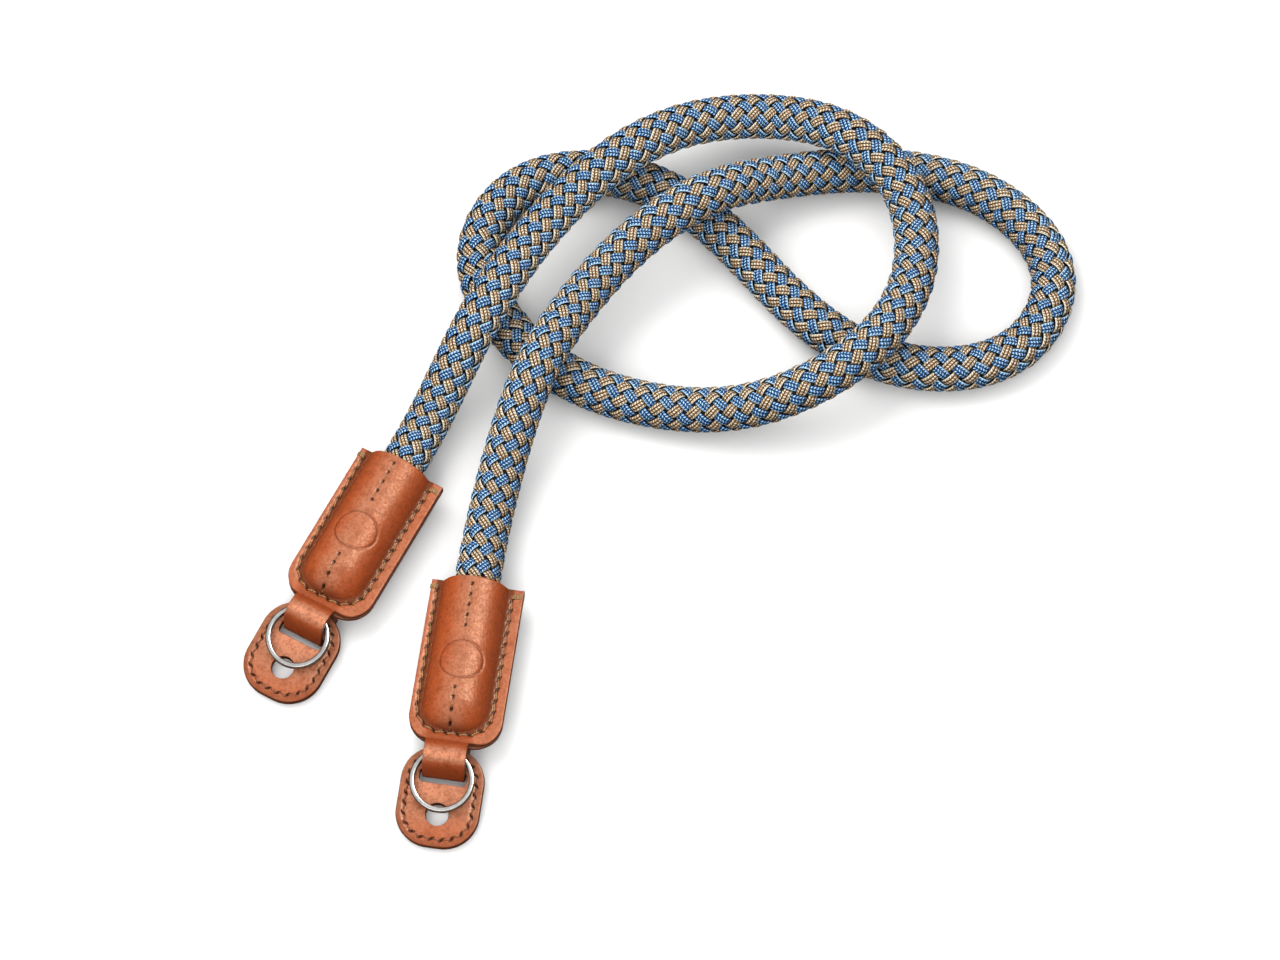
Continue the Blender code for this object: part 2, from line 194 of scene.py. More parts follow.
class BraidSettings(bpy.types.PropertyGroup):
    """Sizes and colours of the rope's braid."""
    strands: bpy.props.IntProperty(
        name="Strands each way", description="Number of strands that run round one way",
        default=8, min=4)
    lay: bpy.props.FloatProperty(
        name="Lay", description="Length of rope in which a strand goes once round",
        default=36.0 * MM, unit="LENGTH")
    strand_width: bpy.props.FloatProperty(
        name="Strand width", description="Width of one strand where it lies on top",
        default=2.30 * MM, unit="LENGTH")
    strand_thickness: bpy.props.FloatProperty(
        name="Strand thickness", description="Thickness of one strand",
        default=0.95 * MM, unit="LENGTH")
    wave: bpy.props.FloatProperty(
        name="Wave", description="How far a strand moves in and out as it weaves",
        default=0.46 * MM, unit="LENGTH")
    yarns: bpy.props.IntProperty(
        name="Yarns", description="Twisted yarns that lie side by side in one strand",
        default=3, min=1)
    twist: bpy.props.FloatProperty(
        name="Twist", description="Distance between two turns of a yarn's plies",
        default=0.68 * MM, unit="LENGTH")
    blue: bpy.props.FloatVectorProperty(
        name="Blue", description="Colour of the strands that run round to the right",
        default=(0.010, 0.090, 0.285), subtype="COLOR")
    blue_glint: bpy.props.FloatVectorProperty(
        name="Blue glint", description="Colour of the blue filaments that face the light",
        default=(0.57, 0.83, 1.0), subtype="COLOR")
    tan: bpy.props.FloatVectorProperty(
        name="Tan", description="Colour of the strands that run round to the left",
        default=(0.315, 0.176, 0.072), subtype="COLOR")
    tan_glint: bpy.props.FloatVectorProperty(
        name="Tan glint", description="Colour of the tan filaments that face the light",
        default=(0.94, 0.89, 0.74), subtype="COLOR")


class LeatherSettings(bpy.types.PropertyGroup):
    """Colours and stamping of the leather."""
    cell: bpy.props.FloatProperty(
        name="Cell", description="Size of one face on the leather's grain side",
        default=0.26 * MM, unit="LENGTH")
    edge_round: bpy.props.FloatProperty(
        name="Edge rounding", description="Radius of the leather's rubbed edges",
        default=0.32 * MM, unit="LENGTH")
    stamp_diameter: bpy.props.FloatProperty(
        name="Stamp diameter", description="Diameter of the plain circle pressed into the crown",
        default=9.2 * MM, unit="LENGTH")
    stamp_along: bpy.props.FloatProperty(
        name="Stamp place", description="Distance from the mouth to the middle of the circle",
        default=20.9 * MM, unit="LENGTH")
    cognac: bpy.props.FloatVectorProperty(
        name="Cognac", description="Colour of the moulded leather",
        default=(0.38, 0.073, 0.019), subtype="COLOR")
    # Also lightened into painted highlights and painted sheen on the crown, the strap and the pads
    pale: bpy.props.FloatVectorProperty(
        name="Pale", description="Colour of the leather where it lies flat",
        default=(0.42, 0.165, 0.090), subtype="COLOR")
    # Pressed leather's tone, which in the needle holes is painted shade
    pressed_and_painted_hole_shade: bpy.props.FloatVectorProperty(
        name="Pressed", description="Colour of the leather in holes and furrows",
        default=(0.030, 0.008, 0.004), subtype="COLOR")
    burnished: bpy.props.FloatVectorProperty(
        name="Burnished", description="Colour of the rubbed and inked edges",
        default=(0.105, 0.030, 0.012), subtype="COLOR")


class ThreadSettings(bpy.types.PropertyGroup):
    """Sizes and colour of the sewing thread."""
    diameter: bpy.props.FloatProperty(
        name="Diameter", description="Diameter of the sewing thread",
        default=0.34 * MM, unit="LENGTH")
    seam_pitch: bpy.props.FloatProperty(
        name="Seam pitch", description="Length of one stitch on a sleeve",
        default=2.88 * MM, unit="LENGTH")
    pad_pitch: bpy.props.FloatProperty(
        name="Pad pitch", description="Length of one stitch on a ring pad",
        default=2.45 * MM, unit="LENGTH")
    pad_inset: bpy.props.FloatProperty(
        name="Pad inset", description="Distance from a ring pad's edge to its stitches",
        default=1.75 * MM, unit="LENGTH")
    gold: bpy.props.FloatVectorProperty(
        name="Gold thread", description="Colour of the waxed thread on the sleeves",
        default=(0.36, 0.19, 0.066), subtype="COLOR")
    brown: bpy.props.FloatVectorProperty(
        name="Brown thread", description="Colour of the waxed thread on the pads",
        default=(0.24, 0.080, 0.030), subtype="COLOR")


class SteelSettings(bpy.types.PropertyGroup):
    """Finish of the split rings."""
    colour: bpy.props.FloatVectorProperty(
        name="Steel", description="Colour of the satin steel",
        default=(0.35, 0.345, 0.33), subtype="COLOR")
    roughness: bpy.props.FloatProperty(
        name="Roughness", description="How dull the steel is",
        default=0.27, min=0.0, max=1.0)


class StageSettings(bpy.types.PropertyGroup):
    """Camera, floor and lights."""
    lens: bpy.props.FloatProperty(
        name="Lens", description="Focal length of the camera in millimetres", default=150.0)
    distance: bpy.props.FloatProperty(
        name="Distance", description="From the camera to the point that it looks at",
        default=1269.8 * MM, unit="LENGTH")
    elevation: bpy.props.FloatProperty(
        name="Elevation", description="Height of the camera as an angle above the floor",
        default=math.radians(67.0), unit="ROTATION")
    target: bpy.props.FloatVectorProperty(
        name="Target", description="Point on the floor that the camera looks at",
        default=(59.9 * MM, 44.1 * MM, 0.0), subtype="TRANSLATION")
    floor: bpy.props.FloatVectorProperty(
        name="Floor", description="Colour of the floor", default=(0.90, 0.90, 0.90),
        subtype="COLOR")
    key_power: bpy.props.FloatProperty(
        name="Key light", description="Power of the light at the back left in watts",
        default=8.0)
    gloss_power: bpy.props.FloatProperty(
        name="Gloss light", description="Power of the round light at the right that only glosses",
        default=50.0)
    fill_power: bpy.props.FloatProperty(
        name="Fill light", description="Power of the light at the front in watts",
        default=4.0)
    air: bpy.props.FloatProperty(
        name="Air", description="Strength of the even light from above", default=1.45)
    bounce: bpy.props.FloatProperty(
        name="Bounce", description="Strength of the even light from the sides and from below",
        default=0.04)


def smooth_share(low, high, value):
    """0 at low, 1 at high and a soft change between; low may be the larger of the two."""
    share = np.clip((value - low) / (high - low), 0.0, 1.0)
    return share * share * (3.0 - 2.0 * share)


def unit(vectors):
    """Vectors at length one."""
    return vectors / np.linalg.norm(vectors, axis=-1, keepdims=True)


def distances(line):
    """Distance of each point of a line from its start."""
    return np.concatenate(([0.0], np.cumsum(np.linalg.norm(np.diff(line, axis=0), axis=1))))


def read_line(places, at, line):
    """Points of a line at places along it, from its own points and where each of them is."""
    return np.stack([np.interp(places, at, line[:, k]) for k in range(line.shape[1])], -1)


def resample(points, step):
    """The same line with its points a step apart, and their distances from its start."""
    lengths = distances(points)
    at = np.linspace(0.0, lengths[-1], max(2, round(lengths[-1] / step) + 1))
    return read_line(at, lengths, points), at


def grid_mesh(points, uv, marks, material=0):
    """A grid mesh through rows of points, with its UV map and its marks, one value a point."""
    rows, columns = points.shape[:2]
    sheet = bmesh.new()
    sheet.loops.layers.uv.new("UVMap")
    bmesh.ops.create_grid(sheet, x_segments=columns - 1, y_segments=rows - 1, size=0.5,
                          calc_uvs=True)
    mesh = bpy.data.meshes.new("grid")
    sheet.to_mesh(mesh)
    sheet.free()
    mesh.vertices.foreach_set("co", points.astype(np.float32).ravel())
    corners = np.empty(len(mesh.loops), dtype=np.int32)
    mesh.loops.foreach_get("vertex_index", corners)
    mesh.uv_layers[0].data.foreach_set("uv", uv.reshape(-1, 2)[corners].astype(np.float32).ravel())
    for name, values in marks.items():
        layer = mesh.attributes.new(name, "FLOAT", "POINT")
        layer.data.foreach_set("value", np.broadcast_to(values, (rows, columns)).ravel())
    mesh.polygons.foreach_set("material_index", np.full(len(mesh.polygons), material))
    return mesh


def cap_ends(whole):
    """Close every open end of a mesh."""
    open_edges = [edge for edge in whole.edges if edge.is_boundary]
    bmesh.ops.holes_fill(whole, edges=open_edges, sides=0)


def join_meshes(name, meshes, close=None):
    """One mesh of several, welded, closed by a function and with its faces turned outwards."""
    whole = bmesh.new()
    for mesh in meshes:
        whole.from_mesh(mesh)
        bpy.data.meshes.remove(mesh)
    bmesh.ops.remove_doubles(whole, verts=whole.verts, dist=WELD_DISTANCE)
    if close:
        close(whole)
    bmesh.ops.recalc_face_normals(whole, faces=whole.faces)
    joined = bpy.data.meshes.new(name)
    whole.to_mesh(joined)
    whole.free()
    joined.shade_smooth()
    return joined


def add_piece(mesh, finishes, body, place=Matrix.Identity(4)):
    """Carry a finished mesh to its place and link it as a piece that rides on a body."""
    mesh.transform(place)
    piece = bpy.data.objects.new(mesh.name, mesh)
    bpy.context.scene.collection.objects.link(piece)
    for finish in finishes:
        mesh.materials.append(finish)
    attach(piece, body)
    return piece


def end_matrix(side):
    """Place of an end: its mouth on the floor, turned as the end lies."""
    joint = next(j for j in frame["joints"] if j["name"] == f"ring_{side}_swing")
    across = -Vector(joint["axis"])
    turn = Matrix.Rotation(math.atan2(across.y, across.x), 4, "Z")
    mouth = Vector(joint["pos_m"]) - turn @ Vector((0.0, -AXIS_ALONG, 0.0))
    return Matrix.Translation((mouth.x, mouth.y, 0.0)) @ turn


def pad_matrix(side):
    """Place of a ring pad, which leans from its outer end up to the strap below it."""
    lift = Vector((0.0, -math.sin(PAD_SLOPE), math.cos(PAD_SLOPE))) * (PAD_THICKNESS / 2)
    place = Matrix.Translation(Vector((0.0, -PAD_END, 0.0)) + lift)
    return end_matrix(side) @ place @ Matrix.Rotation(PAD_SLOPE, 4, "X")


def ring_matrix(side):
    """Place of a split ring, with its origin on the axis where it swings."""
    place = Matrix.Translation((0.0, -AXIS_ALONG, AXIS_HEIGHT))
    return end_matrix(side) @ place @ Matrix.Rotation(RING_TILT, 4, "X")


def natural_spline(points):
    """Second derivatives and knots of a natural cubic spline through points."""
    knots = distances(points)
    gaps = np.diff(knots)
    count = len(points)
    matrix = np.eye(count)
    right = np.zeros_like(points)
    for k in range(1, count - 1):
        matrix[k, k - 1] = gaps[k - 1]
        matrix[k, k] = 2 * (gaps[k - 1] + gaps[k])
        matrix[k, k + 1] = gaps[k]
        rise = (points[k + 1] - points[k]) / gaps[k] - (points[k] - points[k - 1]) / gaps[k - 1]
        right[k] = 6 * rise
    return knots, np.linalg.solve(matrix, right)


def read_spline(points, knots, bends, at):
    """Points of the spline at distances along its knots."""
    k = np.clip(np.searchsorted(knots, at) - 1, 0, len(knots) - 2)
    gap = (knots[k + 1] - knots[k])[:, None]
    near = (knots[k + 1] - at)[:, None] / gap
    far = 1.0 - near
    curve = (near ** 3 - near) * bends[k] + (far ** 3 - far) * bends[k + 1]
    return near * points[k] + far * points[k + 1] + curve * gap ** 2 / 6


def rope_line():
    """The rope's centre line, and two directions across it that are carried along unturned."""
    tips = []
    for side in SIDES:
        ends = [Vector((TUNNEL_SHIFT, along, SEAM_HEIGHT)) for along in (-ROPE_INSERT, 0.0)]
        tips.append([tuple(end_matrix(side) @ end) for end in ends])
    between = [(x * MM, y * MM, ROPE_RADIUS + lift * ROPE_DIAMETER) for x, y, lift in ROPE_ROUTE]
    points = np.array(tips[0] + between + tips[1][::-1])
    knots, bends = natural_spline(points)
    dense = read_spline(points, knots, bends, np.linspace(0.0, knots[-1], ROPE_SAMPLES))
    dense[:, 2] = np.maximum(dense[:, 2], ROPE_RADIUS)
    line, at = resample(dense, ROPE_STEP)
    ahead = unit(np.gradient(line, axis=0))
    aside = np.empty_like(line)
    aside[0] = unit(np.cross(ahead[0], (0.0, 0.0, 1.0)))
    for k in range(1, len(line)):
        aside[k] = unit(aside[k - 1] - ahead[k] * (aside[k - 1] @ ahead[k]))
    return line, at, aside, np.cross(ahead, aside)


def on_rope(rope, along, angle, radius):
    """Points at a distance along the rope, an angle round it and a radius out from it."""
    line, at, aside, up = rope
    centre, side, rise = [read_line(along, at, part) for part in (line, aside, up)]
    out = side * np.cos(angle)[..., None] + rise * np.sin(angle)[..., None]
    return centre + out * radius[..., None]


# Section of one strand, once round, as shares of half its width and of half its thickness
STRAND_TOP = [(-1.00, -0.10), (-0.88, 0.45), (-0.68, 0.76), (-0.36, 0.94), (0.00, 1.00),
              (0.36, 0.94), (0.68, 0.76), (0.88, 0.45), (1.00, -0.10)]
STRAND_UNDERSIDE = [(0.55, -0.95), (-0.55, -0.95), (-1.00, -0.10)]

# Braid: how flat a strand lies on top, how much narrower it is where it is sunk, the place on the
# UV map of its underside, and the depth of the core in thicknesses of a strand
WEAVE_FLATNESS = 1.5
SUNK_NARROWING = 0.07
HIDDEN_U = -0.5
CORE_DEPTH = 1.55


def strand_mesh(rope, braid, number, hand):
    """One strand of the braid; hand is 1 for a right-handed turn and -1 for a left-handed one."""
    length = rope[1][-1]
    rows = round(length / braid.lay * 2 * braid.strands * ROWS_PER_CROSSING)
    mean_radius = ROPE_RADIUS - braid.strand_thickness / 2 - braid.wave
    along = np.linspace(0.0, length, rows)[:, None]
    phase = 2 * math.pi * along / braid.lay
    weave = hand * np.cos(braid.strands * phase)
    over = np.tanh(WEAVE_FLATNESS * weave) / math.tanh(WEAVE_FLATNESS)
    angle = 2 * math.pi * number / braid.strands + hand * phase
    lean = math.atan2(2 * math.pi * mean_radius, braid.lay)
    across, height = np.array(STRAND_TOP + STRAND_UNDERSIDE).T
    aside = across * (braid.strand_width / 2) * (1.0 - SUNK_NARROWING * (1.0 - over))
    radius = mean_radius + over * braid.wave + height * braid.strand_thickness / 2
    at = np.clip(along - hand * aside * math.sin(lean), 0.0, length)
    points = on_rope(rope, at, angle + aside * math.cos(lean) / mean_radius, radius)
    hidden = np.arange(len(across)) >= len(STRAND_TOP)
    uv = np.empty(points.shape[:2] + (2,))
    uv[..., 0] = np.where(hidden, HIDDEN_U, (across + 1.0) / 2)
    uv[..., 1] = along / math.cos(lean) / MM
    return grid_mesh(points, uv, {"over": over})


def core_mesh(rope, radius):
    """The core that shows in the gaps of the braid, coloured dark as painted shade."""
    along = np.linspace(0.0, rope[1][-1], round(rope[1][-1] / CORE_STEP))[:, None]
    angle = np.linspace(0.0, 2 * math.pi, CORE_SIDES + 1)[None, :]
    points = on_rope(rope, *np.broadcast_arrays(along, angle, radius))
    uv = np.stack(np.broadcast_arrays(angle / (2 * math.pi), along / MM), -1)
    return grid_mesh(points, uv, {})


def sleeve_edges(along):
    """How far the flanges reach to the left and right at places along a sleeve."""
    past = np.clip(along - SHOULDER_START, 0.0, SHOULDER_RADIUS)
    drop = SHOULDER_RADIUS - np.sqrt(SHOULDER_RADIUS ** 2 - past ** 2)
    return np.maximum(STRAP_HALF, FLANGE_LEFT - drop), np.maximum(STRAP_HALF, FLANGE_RIGHT - drop)


# How the moulded tunnel closes at its inner end: how late, and how blunt
CLOSING_LATENESS = 2.2
CLOSING_BLUNTNESS = 0.75


def tunnel_rise(across, along):
    """Height of the moulded tunnel's inner face off the seam."""
    past = np.clip(along - TUNNEL_LENGTH + TUNNEL_CORNER, 0.0, TUNNEL_CORNER)
    width = (TUNNEL_FOOT - TUNNEL_CORNER + np.sqrt(TUNNEL_CORNER ** 2 - past ** 2)) / TUNNEL_FOOT
    closing = np.clip((along - TUNNEL_LENGTH + TUNNEL_TAPER) / TUNNEL_TAPER, 0.0, 1.0)
    place = np.abs(across - TUNNEL_SHIFT) / width
    depth = TUNNEL_DEPTH - CLEARANCE / 2
    dome_edge = TUNNEL_SIDE * math.cos(DOME_END)
    dome = depth * np.sqrt(np.clip(1.0 - (place / TUNNEL_SIDE) ** 2, 0.0, 1.0))
    share = np.clip((place - dome_edge) / (TUNNEL_FOOT - dome_edge), 0.0, 1.0)
    fall = 2 * share ** 3 - 3 * share ** 2 + 1
    lean = share ** 3 - 2 * share ** 2 + share
    slope = -depth / TUNNEL_SIDE / math.tan(DOME_END) * (TUNNEL_FOOT - dome_edge)
    foot = depth * math.sin(DOME_END) * fall + slope * lean
    closed = (1.0 - closing ** CLOSING_LATENESS) ** CLOSING_BLUNTNESS
    return np.where(place <= dome_edge, dome, foot) * closed


def sleeve_face(across, along, half, lift):
    """Points off a sleeve half's inner face; half is 1 for the front and -1 for the back."""
    rise = tunnel_rise(across, along)
    lean_across = (tunnel_rise(across + SLOPE_STEP, along) - rise) / SLOPE_STEP
    lean_along = (tunnel_rise(across, along + SLOPE_STEP) - rise) / SLOPE_STEP
    normal = unit(np.stack(np.broadcast_arrays(-lean_across, lean_along, 1.0), -1))
    points = np.stack(np.broadcast_arrays(across, -along, CLEARANCE / 2 + rise), -1)
    points = points + normal * np.asarray(lift)[..., None]
    points[..., 2] *= half
    points[..., 2] += SEAM_HEIGHT
    return points


def sample_arc(centre, radius, start, end, steps):
    """Points on an arc, with angles in radians from the first axis towards the second."""
    angles = np.linspace(start, end, steps + 1)
    return [(centre[0] + radius * math.cos(a), centre[1] + radius * math.sin(a)) for a in angles]


def strap_path():
    """The strap's inner line from the sleeve's end round the ring, through the slot and back."""
    start = (SLEEVE_LENGTH, SEAM_HEIGHT + CLEARANCE / 2)
    ring_centre = (AXIS_ALONG, AXIS_HEIGHT)
    fold_centre = (SLOT_START - FOLD_RADIUS / 4, RUN_TOP + FOLD_RADIUS)
    rise_centre = (PAD_START + RISE_RADIUS / 2, RUN_TOP + RISE_RADIUS)
    away = math.atan2(start[1] - ring_centre[1], start[0] - ring_centre[0])
    first = away - math.acos(min(1.0, CHANNEL_RADIUS / math.dist(start, ring_centre)))
    towards = math.atan2(fold_centre[1] - ring_centre[1], fold_centre[0] - ring_centre[0])
    spread = math.acos((CHANNEL_RADIUS - FOLD_RADIUS) / math.dist(ring_centre, fold_centre))
    leave = towards + spread
    path = [start]
    path += sample_arc(ring_centre, CHANNEL_RADIUS, first, leave, steps=30)
    path += sample_arc(fold_centre, FOLD_RADIUS, leave, -math.pi / 2, steps=16)
    path += sample_arc(rise_centre, RISE_RADIUS, -math.pi / 2, -math.pi, steps=12)
    path.append((rise_centre[0] - RISE_RADIUS, SEAM_HEIGHT - CLEARANCE * 1.5 - LEATHER))
    return np.array(path)


def with_fine_ends(length, cell):
    """Places along a length a cell apart, closer together at both ends where the edge is round."""
    middle = np.linspace(FINE_REACH, length - FINE_REACH, max(2, round(length / cell)))
    return np.concatenate((FINE_ENDS, middle, length - FINE_ENDS[::-1]))


def section_columns(cell):
    """Places across a sleeve, evenly spaced over its moulded section, and as shares of it."""
    across = np.linspace(-FLANGE_LEFT, FLANGE_RIGHT, SECTION_SAMPLES)
    walked = distances(np.column_stack((across, tunnel_rise(across, np.zeros_like(across)))))
    at = with_fine_ends(walked[-1], cell)
    return np.interp(at, walked, across), at / walked[-1]


def edge_distance(across, along):
    """Distance from a point of a sleeve half to the nearest edge of the leather."""
    near = np.broadcast_to(along, across.shape).copy()
    past = np.clip(along - SHOULDER_START, 0.0, None)
    for width, place in ((FLANGE_LEFT, -across), (FLANGE_RIGHT, across)):
        inner = width - SHOULDER_RADIUS
        beyond = np.clip(place - inner, 0.0, None)
        near = np.minimum(near, SHOULDER_RADIUS - np.hypot(beyond, past * (beyond > 0.0)))
    neck = np.where(along > SHOULDER_START, STRAP_HALF - np.abs(across), 0.0)
    return np.clip(np.maximum(near, neck), 0.0, None)


# The sleeve's seam: its two columns, its lowest row, the radius of its corners and its upper ends
SEAM_LEFT = -8.4 * MM
SEAM_RIGHT = 9.5 * MM
SEAM_LOW = 37.5 * MM
SEAM_CORNER = 6.0 * MM
SEAM_TOP = 2.6 * MM

# Where the leather changes from the sleeve's inside to its flat rim, from the seam outwards
CHANGE_START = -0.1 * MM
CHANGE_END = 0.5 * MM

# The two short rows of holes along the crown: the first and the last hole's place in each
CROWN_ROWS = ((2.0 * MM, 12.5 * MM), (28.05 * MM, 37.2 * MM))
CROWN_ROW_HOLES = 5
CROWN_ROW_ACROSS = 0.15 * MM

# The furrow that joins the holes of a crown row: its half widths, its depth and its darkness
FURROW_FLOOR = 0.10 * MM
FURROW_RIM = 0.40 * MM
FURROW_DEPTH = 0.16 * MM
FURROW_DARKNESS = 0.28

# Needle holes: their slant against the row and their depth, the shares of their size at which the
# floor ends and the rim is reached, and their half lengths and half widths
HOLE_SLANT = math.radians(32.0)
HOLE_DEPTH = 0.5 * MM
HOLE_FLOOR = 0.55
HOLE_RIM = 1.25
SEAM_HOLE = (0.98 * MM, 0.29 * MM)
CROWN_HOLE = (0.48 * MM, 0.32 * MM)
PAD_HOLE = (0.92 * MM, 0.31 * MM)


def seam_line():
    """The sleeve's row of stitches: down one flange, round below the tunnel and up the other."""
    line = [(SEAM_LEFT, SEAM_TOP)]
    corners = ((SEAM_LEFT + SEAM_CORNER, math.pi), (SEAM_RIGHT - SEAM_CORNER, math.pi / 2))
    for across, start in corners:
        centre = (across, SEAM_LOW - SEAM_CORNER)
        line += sample_arc(centre, SEAM_CORNER, start, start - math.pi / 2, SEAM_CORNER_STEPS)
    line.append((SEAM_RIGHT, SEAM_TOP))
    return np.array(line)


def seam_holes(pitch):
    """Needle holes of the sleeve's long seam and the seam's direction at each."""
    line, at = resample(seam_line(), SEAM_STEP)
    places = np.linspace(0.0, at[-1], round(at[-1] / pitch) + 1)
    return read_line(places, at, line), read_line(places, at, unit(np.gradient(line, axis=0)))


def crown_holes():
    """Needle holes of the two short rows on the crown, a list for each row."""
    rows = [np.linspace(first, last, CROWN_ROW_HOLES) for first, last in CROWN_ROWS]
    return [np.column_stack((np.full_like(along, CROWN_ROW_ACROSS), along)) for along in rows]


def add_hole(marks, across, along, place, ahead, size):
    """Press one slanted needle hole, dark with painted shade; size is its half length and its half
    width.
    """
    turn = math.atan2(ahead[1], ahead[0]) + HOLE_SLANT
    x = across - place[0]
    y = along - place[1]
    length = x * math.cos(turn) + y * math.sin(turn)
    width = y * math.cos(turn) - x * math.sin(turn)
    hole = smooth_share(HOLE_RIM, HOLE_FLOOR, np.hypot(length / size[0], width / size[1]))
    marks["depth"] = np.maximum(marks["depth"], HOLE_DEPTH * hole)
    marks["worked"] = np.maximum(marks["worked"], hole)


def press(marks, distance, full, none, depth, dark=0.0):
    """Press a shape into the leather: whole up to one distance, and nothing from another on."""
    share = smooth_share(none, full, distance)
    marks["depth"] += share * depth
    marks["worked"] += share * dark


def beyond_seam(across, along):
    """Signed distance from the sleeve's seam, above zero outside it."""
    half_width = (SEAM_RIGHT - SEAM_LEFT) / 2
    aside = np.abs(across - (SEAM_LEFT + SEAM_RIGHT) / 2) - half_width + SEAM_CORNER
    ahead = along - SEAM_LOW + SEAM_CORNER
    in_corner = (aside > 0) & (ahead > 0)
    reach = np.where(in_corner, np.hypot(aside, ahead), np.maximum(aside, ahead))
    return reach - SEAM_CORNER


def outside_seam(across, along):
    """Share of the flat rim outside the sleeve's seam."""
    return smooth_share(CHANGE_START, CHANGE_END, beyond_seam(across, along))


def bell(value, middle, width):
    """1 in the middle, and softly down to 0 on both sides."""
    return np.exp(-((value - middle) / width) ** 2)


# Leather that swells over the flat strip between the seam and the moulded tunnel
FOOT_HEIGHT = 0.72 * MM
FOOT_WIDTH = 1.5 * MM
FOOT_FADE = 1.4 * MM


def foot_fill(across, along):
    """Height of the leather that swells from the seam up to the moulded tunnel."""
    swell = smooth_share(CHANGE_START, FOOT_WIDTH, -beyond_seam(across, along))
    return FOOT_HEIGHT * swell * np.exp(-tunnel_rise(across, along) / FOOT_FADE)


def press_stamp(marks, across, along, leather):
    """Press the plain circle into the crown, with a lip raised round it."""
    lip_place = 0.60 * MM
    crown_radius = TUNNEL_SIDE + LEATHER
    bent = crown_radius * np.arcsin(np.clip((across - TUNNEL_SHIFT) / crown_radius, -1.0, 1.0))
    beyond = np.hypot(bent, along - leather.stamp_along) - leather.stamp_diameter / 2
    off_lip = np.abs(beyond - lip_place)
    press(marks, np.abs(beyond), full=0.05 * MM, none=0.34 * MM, depth=0.22 * MM, dark=0.42)
    press(marks, beyond, full=0.0, none=0.5 * MM, depth=0.10 * MM)
    press(marks, off_lip, full=0.0, none=0.40 * MM, depth=-0.09 * MM)


def press_crown_row(marks, across, along, row):
    """Press the holes of a short row into the crown, and the furrow that joins them."""
    for place in row:
        add_hole(marks, across, along, place, (0.0, 1.0), CROWN_HOLE)
    furrow = smooth_share(FURROW_RIM, FURROW_FLOOR, np.abs(across - CROWN_ROW_ACROSS))
    furrow = furrow * (along > row[0][1]) * (along < row[-1][1])
    marks["depth"] = np.maximum(marks["depth"], furrow * FURROW_DEPTH)
    marks["worked"] = np.maximum(marks["worked"], furrow * FURROW_DARKNESS)


# Tones of a sleeve's front: paleness of the flat rim, a painted highlight on the crown, painted
# shade inside the seam, and the strap's neck: painted shade, and a painted highlight on its bend
RIM_PALENESS = 0.55
CROWN_PAINTED_HIGHLIGHT = 0.75
CROWN_HIGHLIGHT_PLACE = 0.2 * MM
CROWN_HIGHLIGHT_WIDTH = 3.2 * MM
SEAM_SHADE_START = -3.6 * MM
SEAM_SHADE_FULL = -1.4 * MM
NECK_START = 6.4 * MM
NECK_FULL = 4.4 * MM
NECK_SHADE = 0.35
STRAP_HIGHLIGHT_PLACE = SLEEVE_LENGTH + 3.9 * MM
STRAP_HIGHLIGHT_WIDTH = 1.2 * MM
STRAP_HIGHLIGHT_CLEARING = 0.8
STRAP_HIGHLIGHT_STRENGTH = 1.5


def front_marks(across, along, leather, thread):
    """Depth and darkness of the pressed places on a sleeve's front, its paleness, painted shade
    and painted highlights.
    """
    marks = {"depth": -foot_fill(across, along), "worked": np.zeros_like(across)}
    press_stamp(marks, across, along, leather)
    beyond = beyond_seam(across, along)
    off_seam = np.abs(beyond) + np.clip(SEAM_TOP - along, 0.0, None)
    press(marks, off_seam, full=0.15 * MM, none=0.9 * MM, depth=0.22 * MM, dark=0.10)
    for place, ahead in zip(*seam_holes(thread.seam_pitch)):
        add_hole(marks, across, along, place, ahead, SEAM_HOLE)
    for row in crown_holes():
        press_crown_row(marks, across, along, row)
    outside = outside_seam(across, along)
    inside = 1.0 - outside
    # Painted shade on the leather just inside the seam, at the tunnel's foot
    seam_shade = smooth_share(SEAM_SHADE_START, SEAM_SHADE_FULL, beyond) * inside
    # Painted highlight: a pale band along the crown
    painted_highlight_and_noise = bell(across, CROWN_HIGHLIGHT_PLACE, CROWN_HIGHLIGHT_WIDTH) * inside
    # The strap's neck: no pale rim, and painted shade
    neck = smooth_share(NECK_START, NECK_FULL, np.abs(across)) * outside
    neck = neck * (along > SHOULDER_START)
    # Painted highlight across the strap where it bends over the ring, lifting the neck's painted
    # shade there
    strap_highlight = neck * bell(along, STRAP_HIGHLIGHT_PLACE, STRAP_HIGHLIGHT_WIDTH)
    pale = np.maximum(RIM_PALENESS * outside * (1.0 - neck), CROWN_PAINTED_HIGHLIGHT * painted_highlight_and_noise)
    marks["deep"] = np.maximum(seam_shade, neck * NECK_SHADE - strap_highlight * STRAP_HIGHLIGHT_CLEARING)
    marks["pale"] = pale + strap_highlight * STRAP_HIGHLIGHT_STRENGTH
    return marks


def rim_of(points):
    """The border of a grid of points, once round and back at its start."""
    loop = (points[0, :-1], points[:-1, -1], points[-1, :0:-1], points[:0:-1, 0], points[:1, 0])
    return np.concatenate(loop)


# Marks that the leather's finish reads; they carry painted shade, and painted highlights and sheen
FINISH_MARKS = ("worked", "deep", "pale")


